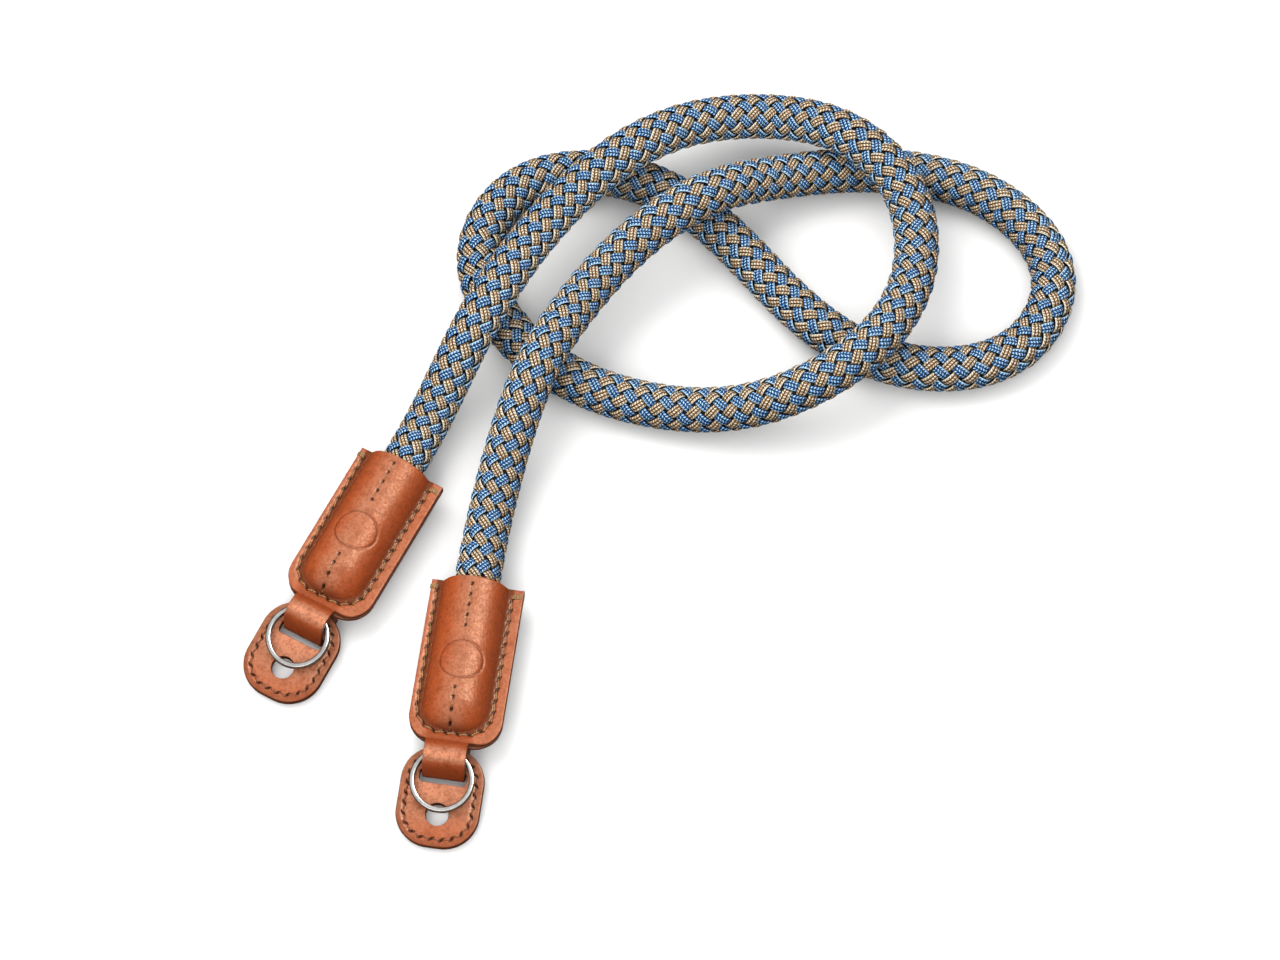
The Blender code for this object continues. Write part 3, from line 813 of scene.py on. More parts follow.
def leather_half(name, inner, outer, flat, marks):
    """A closed leather piece of a grain face, a flesh face and a rubbed edge."""
    edge_in = rim_of(inner)
    edge_out = rim_of(outer)
    shares = np.array(RIM_SHARES)[:, None, None]
    rows = edge_out * (1.0 - shares) + edge_in * shares
    rim_uv = np.stack(np.broadcast_arrays(distances(edge_out), shares[..., 0] * LEATHER), -1)
    plain = {mark: 0.0 for mark in FINISH_MARKS}
    grain = {mark: marks[mark] for mark in FINISH_MARKS}
    return join_meshes(name, [
        grid_mesh(outer, flat, grain, 0),
        grid_mesh(inner, flat, plain, 2),
        grid_mesh(rows, rim_uv, plain, 1),
    ])


# Where along a sleeve its columns begin to spread evenly
EVEN_START = 30.0 * MM


def sleeve_grid(cell, half):
    """Places across and along a sleeve half for each point of its grid."""
    full, share = section_columns(cell)
    along = with_fine_ends(SLEEVE_LENGTH, cell)
    if half > 0:
        along = along[:-len(FINE_ENDS)]
    left, right = [edge[:, None] for edge in sleeve_edges(along)]
    fitted = np.where(full < 0.0, full * left / FLANGE_LEFT, full * right / FLANGE_RIGHT)
    even = -left + (left + right) * share
    blend = smooth_share(EVEN_START, TUNNEL_LENGTH, along)[:, None]
    across = fitted * (1.0 - blend) + even * blend
    return across, np.broadcast_to(along[:, None], across.shape), share


def smooth_line(line, window=15):
    """A line in two dimensions with its kinks softened and its start in place."""
    weights = np.hanning(window)[1:-1] / np.hanning(window).sum()
    soft = np.empty_like(line)
    for k in range(2):
        padded = np.pad(line[:, k], len(weights) // 2, mode="reflect", reflect_type="odd")
        soft[:, k] = np.convolve(padded, weights, mode="valid")
    soft[0] = line[0]
    return soft


def front_mesh(name, leather, thread):
    """The moulded front half with its strap, in the end's own frame."""
    across, along, share = sleeve_grid(leather.cell, 1)
    path, walked = resample(strap_path(), leather.cell * STRAP_FINENESS)
    row_across = -STRAP_HALF + 2 * STRAP_HALF * share
    across = np.vstack((across, np.broadcast_to(row_across, (len(path), len(share)))))
    walked = np.concatenate((along[:, 0], SLEEVE_LENGTH + walked))
    sleeve = np.column_stack((along[:, 0], np.full(len(along), SEAM_HEIGHT + CLEARANCE / 2)))
    line = smooth_line(np.vstack((sleeve, path)))
    rise = tunnel_rise(across, np.minimum(walked, SLEEVE_LENGTH)[:, None])
    inner = np.stack(np.broadcast_arrays(across, -line[:, :1], line[:, 1:] + rise), -1)
    normal = unit(np.cross(np.gradient(inner, axis=0), np.gradient(inner, axis=1)))
    walked = np.broadcast_to(walked[:, None], across.shape)
    marks = front_marks(across, walked, leather, thread)
    strap_edge = np.minimum(STRAP_HALF - np.abs(across), walked[-1, 0] - walked)
    near = np.where(walked > SLEEVE_LENGTH, strap_edge, edge_distance(across, walked))
    marks["depth"] += rounding(near, leather.edge_round)
    outer = inner + normal * (LEATHER - marks["depth"])[..., None]
    return leather_half(name, inner, outer, np.stack((across, walked), -1), marks)


def back_mesh(name, leather):
    """The moulded back half, whose underside rests on the floor."""
    across, along, _ = sleeve_grid(leather.cell * BACK_COARSENESS, -1)
    near = np.minimum(edge_distance(across, along), SLEEVE_LENGTH - along)
    depth = rounding(near, leather.edge_round)
    inner = sleeve_face(across, along, -1, np.zeros_like(across))
    outer = sleeve_face(across, along, -1, LEATHER - depth)
    marks = {"worked": 0.0, "deep": 0.0, "pale": RIM_PALENESS * outside_seam(across, along)}
    return leather_half(name, inner, outer, np.stack((across, along), -1), marks)


def rounding(near, radius):
    """How far a face drops towards its rounded edge."""
    rest = radius - np.clip(near, 0.0, radius)
    return radius - np.sqrt(radius ** 2 - rest ** 2)


# Stitches: the share of one that lies in each hole, how full its arch is, and how far its ends
# are turned off the row
DIP_MARGIN = 0.05
DIP_FULLNESS = 0.6
STITCH_TURN = 0.16 * MM


def thread_mesh(ends, outs, radius, arch, sink):
    """One stitch: a short tube from hole to hole that dips into the leather at both ends."""
    share = np.linspace(0.0, 1.0, THREAD_ROWS)[:, None]
    start, end = ends
    out = unit(outs[0] * (1.0 - share) + outs[1] * share)
    seen = np.clip(share * (1.0 + 2 * DIP_MARGIN) - DIP_MARGIN, 0.0, 1.0)
    rise = np.sin(math.pi * seen) ** DIP_FULLNESS
    line = start * (1.0 - share) + end * share + out * (rise * (arch + sink) - sink)
    ahead = unit(np.gradient(line, axis=0))
    aside = unit(np.cross(ahead, out))
    up = np.cross(aside, ahead)
    turn = np.linspace(0.0, 2 * math.pi, THREAD_SIDES + 1)[None, :, None]
    points = line[:, None] + radius * (aside[:, None] * np.cos(turn) + up[:, None] * np.sin(turn))
    length = np.linalg.norm(end - start)
    uv = np.stack(np.broadcast_arrays(turn[..., 0] / (2 * math.pi), share * length / MM), -1)
    return grid_mesh(points, uv, {})


def sleeve_stitch(ends, half, sunk, radius, arch, sink):
    """One stitch on a sleeve's face, with its ends sunk that far below the face."""
    across, along = np.array(ends).T
    low = sleeve_face(across, along, half, np.full(2, LEATHER - sunk))
    high = sleeve_face(across, along, half, np.full(2, LEATHER + 1.0 * MM))
    return thread_mesh(low, unit(high - low), radius, arch, sink)


def stitch_ends(holes, ahead, inwards):
    """Where stitches start in holes and where they end in them, turned a little off the row."""
    shift = np.stack((-ahead[:, 1], ahead[:, 0]), 1) * STITCH_TURN + ahead * inwards
    return holes + shift, holes - shift


def sleeve_stitches(thread, half):
    """The stitches of a sleeve's long seam on one of its two faces."""
    starts, ends = stitch_ends(*seam_holes(thread.seam_pitch), inwards=0.42 * MM)
    return [sleeve_stitch(pair, half, sunk=0.14 * MM, radius=thread.diameter / 2,
                          arch=0.10 * MM, sink=0.42 * MM) for pair in zip(starts, ends[1:])]


def crown_stitches(thread):
    """The sunk stitches of the two short rows on the crown."""
    inwards = np.array((0.10, 0.35)) * MM
    pairs = [(start + inwards, end - inwards)
             for row in crown_holes() for start, end in zip(row, row[1:])]
    return [sleeve_stitch(pair, 1, sunk=0.16 * MM, radius=thread.diameter * 0.36,
                          arch=0.03 * MM, sink=0.35 * MM) for pair in pairs]


# The thread wound over each flange's edge at the mouth: its ends' places, and those of its turns
BAR_TACKS = ((-8.2 * MM, -FLANGE_LEFT - 0.1 * MM), (9.1 * MM, FLANGE_RIGHT + 0.1 * MM))
BAR_TACK_TURNS = (1.45 * MM, 1.81 * MM, 2.17 * MM)


def bar_tacks(thread):
    """The thick wound thread at the mouth, from the seam out over each flange's edge."""
    pairs = [((start, along), (end, along))
             for start, end in BAR_TACKS for along in BAR_TACK_TURNS]
    return [sleeve_stitch(pair, 1, sunk=0.0, radius=thread.diameter * 0.62,
                          arch=0.20 * MM, sink=0.55 * MM) for pair in pairs]


def rounded_box(half_width, low, high, radius, step):
    """Points round a rounded rectangle a step apart, back at the start, and outward normals."""
    corners = [
        (half_width - radius, high - radius),
        (-half_width + radius, high - radius),
        (-half_width + radius, low + radius),
        (half_width - radius, low + radius),
    ]
    points = []
    for quarter, centre in enumerate(corners):
        start = quarter * math.pi / 2
        points += sample_arc(centre, radius, start, start + math.pi / 2, BOX_CORNER_STEPS)
    points.append(points[0])
    line, _ = resample(np.array(points), step)
    loop = np.vstack((line[-2:-1], line, line[1:2]))
    ahead = unit(loop[2:] - loop[:-2])
    return line, np.stack((ahead[:, 1], -ahead[:, 0]), 1)


# How far a rubbed edge bulges past its straight line
EDGE_BULGE = 0.10 * MM


def edge_profile(reach, radius, half):
    """From the top face round the edge to the bottom face, as (offset outwards, height)."""
    turn = np.linspace(0.0, math.pi / 2, EDGE_ARC_ROWS)
    top = [(-radius + radius * math.sin(a), half - radius + radius * math.cos(a)) for a in turn]
    bottom = [(x, -z) for x, z in reversed(top)]
    return [(-reach, half)] + top + [(EDGE_BULGE, 0.0)] + bottom + [(-reach, -half)]


def add_floor(stage):
    """A wide plain floor under the strap."""
    sheet = bmesh.new()
    bmesh.ops.create_grid(sheet, x_segments=1, y_segments=1, size=6.0)
    mesh = bpy.data.meshes.new("floor")
    sheet.to_mesh(mesh)
    sheet.free()
    floor = bpy.data.objects.new("floor", mesh)
    bpy.context.scene.collection.objects.link(floor)
    mesh.materials.append(Finish("studio_floor").done({
        "Base Color": (*stage.floor, 1.0),
        "Roughness": 0.85,
        "Specular IOR Level": 0.1,
    }))
    floor.visible_diffuse = False
    floor.visible_glossy = False


def add_area_light(name, stage, place, size, power, colour, shape="SQUARE"):
    """One soft light that looks at the camera's target."""
    data = bpy.data.lights.new(name, "AREA")
    data.shape = shape
    data.size = size
    data.energy = power
    data.color = colour
    light = bpy.data.objects.new(name, data)
    light.location = place
    ahead = Vector(stage.target) - Vector(place)
    light.rotation_euler = ahead.to_track_quat("-Z", "Y").to_euler()
    bpy.context.scene.collection.objects.link(light)
    return light


# Heights in the sky between which the air's light grows to its full strength
AIR_START = 0.1
AIR_FULL = 0.9


def add_lights(stage):
    """Soft lights at the back left, the right and the front, and even air from above."""
    warm = (1.0, 0.985, 0.96)
    key = add_area_light("key_light", stage, place=(-0.40, 0.50, 1.05), size=0.8,
                         power=stage.key_power, colour=warm)
    key.visible_glossy = False
    gloss = add_area_light("gloss_light", stage, place=(0.72, 0.28, 1.00), size=0.74,
                           power=stage.gloss_power, colour=(1.0, 0.99, 0.975), shape="DISK")
    gloss.visible_diffuse = False
    add_area_light("fill_light", stage, place=(-0.20, -0.75, 0.85), size=0.7,
                   power=stage.fill_power, colour=warm)
    world = bpy.data.worlds.new("studio_air")
    world.use_nodes = True
    nodes = world.node_tree.nodes
    links = world.node_tree.links
    place = nodes.new("ShaderNodeTexCoord")
    height = nodes.new("ShaderNodeSeparateXYZ")
    strength = nodes.new("ShaderNodeMapRange")
    links.new(place.outputs["Generated"], height.inputs["Vector"])
    links.new(height.outputs["Z"], strength.inputs["Value"])
    strength.inputs["From Min"].default_value = AIR_START
    strength.inputs["From Max"].default_value = AIR_FULL
    strength.inputs["To Min"].default_value = stage.bounce
    strength.inputs["To Max"].default_value = stage.air
    links.new(strength.outputs["Result"], nodes["Background"].inputs["Strength"])
    nodes["Background"].inputs["Color"].default_value = (1.0, 1.0, 1.0, 1.0)
    bpy.context.scene.world = world


def add_camera(stage):
    """The camera at the photograph's angle."""
    data = bpy.data.cameras.new("camera")
    data.lens = stage.lens
    data.sensor_width = 36.0
    camera = bpy.data.objects.new("camera", data)
    back = stage.distance * math.cos(stage.elevation)
    camera.location = (stage.target[0], stage.target[1] - back,
                       stage.distance * math.sin(stage.elevation))
    camera.rotation_euler = (math.pi / 2 - stage.elevation, 0.0, 0.0)
    bpy.context.scene.collection.objects.link(camera)
    bpy.context.scene.camera = camera
    bpy.context.scene.view_settings.view_transform = "Standard"


class STRAP_OT_stage(bpy.types.Operator):
    """Set up the floor, the soft lights and the camera"""
    bl_idname = "strap.stage"
    bl_label = "Stage"

    def execute(self, context):
        stage = context.scene.strap_stage
        add_floor(stage)
        add_lights(stage)
        add_camera(stage)
        return {"FINISHED"}


class Finish:
    """A material under construction: short calls that add and join its nodes."""

    def __init__(self, name):
        self.material = bpy.data.materials.new(name)
        self.material.use_nodes = True
        self.tree = self.material.node_tree
        self.shader = self.tree.nodes["Principled BSDF"]

    def add(self, kind, inputs, **settings):
        """Add a node, set its options and fill its sockets with values or other nodes' outputs."""
        node = self.tree.nodes.new("ShaderNode" + kind)
        for key, value in settings.items():
            setattr(node, key, value)
        self.fill(node, inputs)
        return node

    def fill(self, node, inputs):
        """Fill a node's sockets with values or other nodes' outputs."""
        for key, value in inputs.items():
            if isinstance(value, bpy.types.NodeSocket):
                self.tree.links.new(value, node.inputs[key])
            else:
                node.inputs[key].default_value = value

    def calc(self, operation, first, second=0.0, third=0.0):
        """One arithmetic step."""
        node = self.add("Math", {0: first, 1: second, 2: third}, operation=operation)
        return node.outputs[0]

    def times(self, first, second):
        """One value times another."""
        return self.calc("MULTIPLY", first, second)

    def line(self, value, factor, offset):
        """A value times a factor, and an offset added."""
        return self.calc("MULTIPLY_ADD", value, factor, offset)

    def share(self, value, low, high):
        """A value between low and high as a soft share from 0 to 1."""
        node = self.add("MapRange", {"Value": value, "From Min": low, "From Max": high},
                        interpolation_type="SMOOTHSTEP")
        return node.outputs["Result"]

    def mix(self, share, first, second):
        """Two colours mixed by a share."""
        node = self.add("Mix", {}, data_type="RGBA")
        self.fill(node, {0: share, 6: first, 7: second})
        return node.outputs[2]

    def noise(self, where, scale, detail=3.0, roughness=0.5):
        """Soft noise with that many features a metre."""
        node = self.add("TexNoise", {"Vector": where, "Scale": scale, "Detail": detail,
                                     "Roughness": roughness})
        return node.outputs["Fac"]

    def place(self, kind="Object"):
        """Where on the piece a point is."""
        return self.add("TexCoord", {}).outputs[kind]

    def across_and_along(self):
        """The two parts of the piece's UV map."""
        parts = self.add("SeparateXYZ", {"Vector": self.place("UV")})
        return parts.outputs["X"], parts.outputs["Y"]

    def mark(self, name):
        """One of the piece's own marks."""
        return self.add("Attribute", {}, attribute_name=name).outputs["Fac"]

    def bump(self, height, distance, strength=1.0):
        """Small relief from a height."""
        inputs = {"Height": height, "Distance": distance, "Strength": strength}
        return self.add("Bump", inputs).outputs["Normal"]

    def done(self, inputs):
        """The material, with the sockets of its surface filled."""
        self.fill(self.shader, inputs)
        return self.material


def rgb(colour, light=1.0):
    """A colour as four numbers, made lighter or darker."""
    return (*[min(1.0, part * light) for part in colour], 1.0)


# Features a metre of the fine noise in the yarn, the core and the leather's grain
FIBRES = 1500.0

# The core's colour, near black as painted shade, and where a speck of it has a painted glint
CORE_PAINTED_SHADE = (0.006, 0.006, 0.007)
CORE_PAINTED_GLINT = (0.03, 0.03, 0.03)

# Length of one turn of the sewing thread's plies, in millimetres as on its UV map
THREAD_TWIST = 0.55


def make_yarn_finish(name, colour, glint, braid):
    """Strands of twisted yarn: painted glints on the plies as slanted dashes, a light line along
    one edge, and painted shade in the gaps, on the strands' edges and on the sunk ends.
    """
    finish = Finish(name)
    across, along = finish.across_and_along()
    yarn = finish.times(across, float(braid.yarns))
    ridge = finish.calc("SINE", finish.times(finish.calc("FRACT", yarn), math.pi))
    chevron = finish.times(finish.calc("PINGPONG", yarn, 1.0), 3.8)
    turn = finish.line(along, 2 * math.pi * MM / braid.twist, chevron)
    painted_highlight_and_noise = finish.line(finish.noise(finish.place(), FIBRES, 2.0), 2.4, -1.2)
    ply = finish.calc("ADD", finish.calc("SINE", turn), painted_highlight_and_noise)
    # Painted glints: bright slanted dashes where the plies catch the light
    painted_glint = finish.times(finish.share(ply, 0.0, 1.0), finish.share(ridge, 0.40, 0.85))
    # Painted shade along both edges of a strand
    off_middle = finish.calc("ABSOLUTE", finish.calc("SUBTRACT", across, 0.5))
    edge = finish.times(finish.share(off_middle, 0.40, 0.49), 0.9)
    # A light line in the glint colour, just inside one edge of the strand
    light_edge_line = finish.times(finish.share(across, 0.04, 0.08), finish.share(across, 0.15, 0.10))
    # Painted shade: the dark tone between the yarns, on a strand's edges and where it sinks under
    # others
    gap = rgb(colour, 0.04)
    tone = finish.mix(finish.share(ridge, 0.20, 0.75), gap, rgb(colour))
    tone = finish.mix(painted_glint, tone, rgb(glint))
    tone = finish.mix(edge, tone, gap)
    tone = finish.mix(finish.times(light_edge_line, 0.8), tone, rgb(glint, 0.95))
    tone = finish.mix(finish.share(finish.mark("over"), -1.0, 0.20), rgb(colour, 0.02), tone)
    relief = finish.times(ridge, finish.line(ply, 0.3, 0.6))
    return finish.done({
        "Base Color": tone,
        "Roughness": 0.45,
        "Specular IOR Level": 0.10,
        "Normal": finish.bump(relief, 0.20 * MM),
    })


def make_core_finish():
    """The core behind the braid, near black as painted shade, with faint painted glints."""
    finish = Finish("shaded_core")
    painted_glint_mask = finish.noise(finish.place(), FIBRES, 2.0)
    return finish.done({
        "Base Color": finish.mix(painted_glint_mask, rgb(CORE_PAINTED_SHADE), rgb(CORE_PAINTED_GLINT)),
        "Roughness": 0.9,
    })


def make_leather_finish(name, leather):
    """Vegetable tanned leather: fine grain, soft mottling, pale flats, painted highlights and
    sheen, painted shade, and dark pressed places with painted shade in the needle holes.
    """
    finish = Finish(name)
    where = finish.place()
    cloud = finish.noise(where, 170.0, roughness=0.6)
    blotch = finish.noise(where, 480.0, roughness=0.6)
    fine = finish.noise(where, FIBRES, 2.0, roughness=0.6)
    pores = finish.add("TexVoronoi", {"Vector": where, "Scale": 1900.0, "Randomness": 1.0})
    flat, worked, deep = [finish.mark(mark) for mark in ("pale", "worked", "deep")]
    pale = finish.calc("ADD", finish.times(flat, 0.9), finish.line(cloud, 0.6, -0.27))
    stained = finish.times(finish.share(blotch, 0.45, 0.70), 0.45)
    grained = finish.times(finish.share(fine, 0.46, 0.62), 0.40)
    # The pale mark holds the flat rim's paler tone and painted highlights and sheen; above 0.85 it
    # reaches a lighter copy of the pale colour, which is a painted highlight
    tone = finish.mix(finish.share(pale, 0.0, 1.0), rgb(leather.cognac), rgb(leather.pale))
    tone = finish.mix(finish.share(pale, 0.85, 1.7), tone, rgb(leather.pale, 1.6))
    tone = finish.mix(stained, tone, rgb(leather.cognac, 0.55))
    tone = finish.mix(grained, tone, rgb(leather.cognac, 0.5))
    # Painted shade inside the seams and on the strap's neck, and a pad's darker rim
    tone = finish.mix(finish.times(deep, 0.95), tone, rgb(leather.cognac, 0.30))
    # Pressed places darken, and the near black in the needle holes is painted shade
    tone = finish.mix(finish.share(worked, 0.05, 0.70), tone, rgb(leather.pressed_and_painted_hole_shade))
    grain = finish.line(pores.outputs["Distance"], 0.5, finish.times(fine, 0.9))
    dull = finish.line(flat, -0.06, 0.35)
    dull = finish.line(deep, -0.08, dull)
    dull = finish.line(worked, -0.06, dull)
    return finish.done({
        "Base Color": tone,
        "Roughness": finish.line(finish.share(fine, 0.38, 0.62), 0.12, dull),
        "Specular IOR Level": 0.20,
        "Specular Tint": (1.0, 0.70, 0.48, 1.0),
        "Normal": finish.bump(grain, 0.07 * MM),
    })


def make_edge_finish(name, leather):
    """Rubbed and inked edge of the leather, with the fibres' long streaks."""
    finish = Finish(name)
    streak = finish.noise(finish.place(), 900.0, 4.0, 0.7)
    return finish.done({
        "Base Color": finish.mix(finish.share(streak, 0.35, 0.7), rgb(leather.burnished),
                                 rgb(leather.burnished, 1.9)),
        "Roughness": finish.line(streak, 0.3, 0.3),
        "Specular IOR Level": 0.25,
        "Specular Tint": (1.0, 0.60, 0.40, 1.0),
        "Normal": finish.bump(streak, 0.08 * MM, 0.6),
    })


def make_flesh_finish(name, leather):
    """The leather's napped inner side."""
    finish = Finish(name)
    nap = finish.noise(finish.place(), 1800.0, 4.0, 0.7)
    return finish.done({
        "Base Color": finish.mix(nap, rgb(leather.pale, 0.5), rgb(leather.pale, 1.1)),
        "Roughness": 0.85,
        "Normal": finish.bump(nap, 0.1 * MM, 0.7),
    })


def make_thread_finish(name, colour):
    """Waxed thread with its twist: painted shade between the plies, and painted highlight specks.
    """
    finish = Finish(name)
    across, along = finish.across_and_along()
    turn = finish.line(along, 2 * math.pi / THREAD_TWIST, finish.times(across, 4 * math.pi))
    ply = finish.line(finish.calc("SINE", turn), 0.5, 0.5)
    painted_highlight_specks = finish.noise(finish.place(), 2500.0, 2.0)
    # Painted shade in the ply grooves, lighter ply tops, and painted highlight specks
    tone = finish.mix(finish.share(ply, 0.05, 0.7), rgb(colour, 0.22), rgb(colour, 1.2))
    tone = finish.mix(finish.share(painted_highlight_specks, 0.55, 0.75), tone, rgb(colour, 1.9))
    return finish.done({
        "Base Color": tone,
        "Roughness": 0.5,
        "Specular IOR Level": 0.3,
        "Normal": finish.bump(ply, 0.08 * MM, 0.8),
    })


def make_steel_finish(steel):
    """Satin steel wire with fine lines along it and a little wear."""
    finish = Finish("satin_steel")
    across, along = finish.across_and_along()
    lines = finish.add("CombineXYZ", {"X": finish.times(across, 40.0),
                                      "Y": finish.times(along, 0.05)})
    brushed = finish.noise(lines.outputs["Vector"], 1.0, roughness=0.7)
    wear = finish.share(finish.noise(finish.place(), 700.0, roughness=0.6), 0.4, 0.75)
    return finish.done({
        "Base Color": finish.mix(wear, rgb(steel.colour), rgb(steel.colour, 0.75)),
        "Metallic": 1.0,
        "Roughness": finish.line(brushed, 0.2, steel.roughness - 0.1),
        "Normal": finish.bump(brushed, 0.004 * MM, 0.5),
    })


class STRAP_OT_braid(bpy.types.Operator):
    """Weave the rope: strands both ways round a core that is dark with painted shade"""
    bl_idname = "strap.braid"
    bl_label = "Braid"

    def execute(self, context):
        braid = context.scene.strap_braid
        rope = rope_line()
        for tone, hand in (("blue", 1), ("tan", -1)):
            finish = make_yarn_finish("yarn_" + tone, getattr(braid, tone),
                                      getattr(braid, tone + "_glint"), braid)
            for bundle in range(2):
                numbers = range(bundle, braid.strands, 2)
                strands = [strand_mesh(rope, braid, number, hand) for number in numbers]
                mesh = join_meshes(f"braid_{tone}_{bundle + 1}", strands, cap_ends)
                add_piece(mesh, [finish], "strap")
        core_radius = ROPE_RADIUS - braid.strand_thickness * CORE_DEPTH
        core = join_meshes("braid_core", [core_mesh(rope, core_radius)], cap_ends)
        add_piece(core, [make_core_finish()], "strap")
        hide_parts("rope")
        return {"FINISHED"}


def leather_finishes(part, side, leather):
    """Finishes of a leather part's grain side and of its edge."""
    return [make_leather_finish(f"{part}_grain_{side}", leather),
            make_edge_finish(f"{part}_edge_{side}", leather)]


class STRAP_OT_leather(bpy.types.Operator):
    """Mould the sleeves' halves with the strap that holds the ring"""
    bl_idname = "strap.leather"
    bl_label = "Leather Sleeves"

    def execute(self, context):
        leather = context.scene.strap_leather
        thread = context.scene.strap_thread
        for side in SIDES:
            place = end_matrix(side)
            front = leather_finishes("front", side, leather)
            front.append(make_flesh_finish("front_flesh_" + side, leather))
            mesh = front_mesh("front_leather_" + side, leather, thread)
            piece = add_piece(mesh, front, "strap", place)
            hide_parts("sleeve_front_" + side)
            back = leather_finishes("back", side, leather)
            back.append(make_flesh_finish("back_flesh_" + side, leather))
            mesh = back_mesh("back_leather_" + side, leather)
            piece = add_piece(mesh, back, "strap", place)
            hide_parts("sleeve_back_" + side)
        return {"FINISHED"}


class STRAP_OT_stitches(bpy.types.Operator):
    """Sew the sleeves and the pads"""
    bl_idname = "strap.stitches"
    bl_label = "Stitches"

    def execute(self, context):
        thread = context.scene.strap_thread
        gold = make_thread_finish("gold_thread", thread.gold)
        brown = make_thread_finish("brown_thread", thread.brown)
        for side in SIDES:
            front = sleeve_stitches(thread, 1) + crown_stitches(thread) + bar_tacks(thread)
            sewn = (("front", front, gold, end_matrix(side)),
                    ("back", sleeve_stitches(thread, -1), gold, end_matrix(side)),
                    ("pad", pad_stitches(thread), brown, pad_matrix(side)))
            for part, stitches, finish, place in sewn:
                mesh = join_meshes(f"{part}_stitches_{side}", stitches, cap_ends)
                add_piece(mesh, [finish], "strap", place)
        return {"FINISHED"}


def pad_outline(step):
    """Outline of a ring pad in its own plane."""
    return rounded_box(PAD_WIDTH / 2, 0.0, PAD_LENGTH, PAD_CORNER, step)


def pad_holes(thread):
    """Needle holes of a pad's closed row of stitches, with the row's direction at each."""
    outline, outwards = pad_outline(OUTLINE_STEP)
    row, walked = resample(outline - outwards * thread.pad_inset, SEAM_STEP)
    places = np.linspace(0.0, walked[-1], round(walked[-1] / thread.pad_pitch) + 1)[:-1]
    holes = read_line(places, walked, row)
    return holes, unit(np.roll(holes, -1, axis=0) - np.roll(holes, 1, axis=0))


def pad_stitches(thread):
    """The stitches on a pad's upper face."""
    starts, ends = stitch_ends(*pad_holes(thread), inwards=0.30 * MM)
    level = PAD_THICKNESS / 2 - 0.14 * MM
    up = np.array(((0.0, 0.0, 1.0), (0.0, 0.0, 1.0)))
    pairs = [np.array(((*start, level), (*end, level)))
             for start, end in zip(starts, np.roll(ends, -1, axis=0))]
    return [thread_mesh(pair, up, thread.diameter / 2, arch=0.08 * MM, sink=0.42 * MM)
            for pair in pairs]


# A pad's border: how far in its band starts and ends on top, the band's step, how far in it ends
# below, and the places of the raised ridge and of the darker rim
BAND_START = 3.0 * MM
BAND_END = 0.7 * MM
BAND_STEP = 0.18 * MM
BAND_UNDER = 0.55 * MM
RIDGE_INSET = 0.75 * MM
RIM_DARKNESS = 0.45
RIM_DARK_FULL = 0.9 * MM
RIM_DARK_END = 1.5 * MM

# Paleness of a pad at its outer end and near its slot, where it adds a painted sheen, and where
# the one changes to the other
OUTER_PALENESS = 0.45
SLOT_PAINTED_SHEEN = 1.35
SHEEN_START = 2.0 * MM
SHEEN_FULL = 14.0 * MM

# An opening's wall: how far its band reaches onto the faces, and its edges' share of the rounding
OPENING_REACH = 0.75 * MM
OPENING_ROUNDING = 0.8
SLOT_CORNER = SLOT_LENGTH / 3
HOLE_ROUNDNESS = 0.999


def pad_tone_and_painted_sheen(along):
    """A pad's leather: pale with a painted sheen near its slot, and redder towards its outer end.
    """
    share = smooth_share(SHEEN_START, SHEEN_FULL, along)
    return OUTER_PALENESS + (SLOT_PAINTED_SHEEN - OUTER_PALENESS) * share


def band_points(outline, outwards, profile):
    """Rows of points round an outline, one for each offset outwards and height of a profile."""
    return np.array([np.column_stack((outline + outwards * offset, np.full(len(outline), up)))
                     for offset, up in profile])


def band_mesh(points, marks, first_edge, last_edge):
    """A band of leather, whose rows of faces from one number up to another are rubbed edge."""
    band = grid_mesh(points, points[..., :2], marks)
    columns = points.shape[1] - 1
    material = np.zeros(len(band.polygons), dtype=np.int32)
    material[first_edge * columns:last_edge * columns] = 1
    band.polygons.foreach_set("material_index", material)
    return band


def pad_band(leather, thread):
    """The pad's border: a band over its rounded edge, with the seam pressed into its top."""
    outline, outwards = pad_outline(leather.cell)
    fine = np.arange(BAND_START, BAND_END, -BAND_STEP)
    profile = [(-inset, PAD_THICKNESS / 2) for inset in fine]
    profile += edge_profile(BAND_UNDER, leather.edge_round, PAD_THICKNESS / 2)[1:]
    points = band_points(outline, outwards, profile)
    marks = {"depth": np.zeros(points.shape[:2]), "worked": np.zeros(points.shape[:2])}
    inset = -np.array([offset for offset, _ in profile])[:, None]
    off_row = np.abs(inset - thread.pad_inset)
    off_ridge = np.abs(inset - RIDGE_INSET)
    press(marks, off_row, full=0.20 * MM, none=0.8 * MM, depth=0.20 * MM, dark=0.16)
    press(marks, off_ridge, full=0.0, none=0.6 * MM, depth=-0.10 * MM)
    for place, ahead in zip(*pad_holes(thread)):
        add_hole(marks, points[..., 0], points[..., 1], place, ahead, PAD_HOLE)
    on_top = points[..., 2] > PAD_THICKNESS / 2 - 0.05 * MM
    points[..., 2] -= marks["depth"] * on_top
    # The pad's darker rim, its paleness with painted sheen near the slot, and its holes' painted
    # shade
    seen = {"worked": marks["worked"] * on_top,
            "deep": RIM_DARKNESS * smooth_share(RIM_DARK_END, RIM_DARK_FULL, inset),
            "pale": pad_tone_and_painted_sheen(points[..., 1])}
    return band_mesh(points, seen, first_edge=len(fine) + 3, last_edge=len(profile))


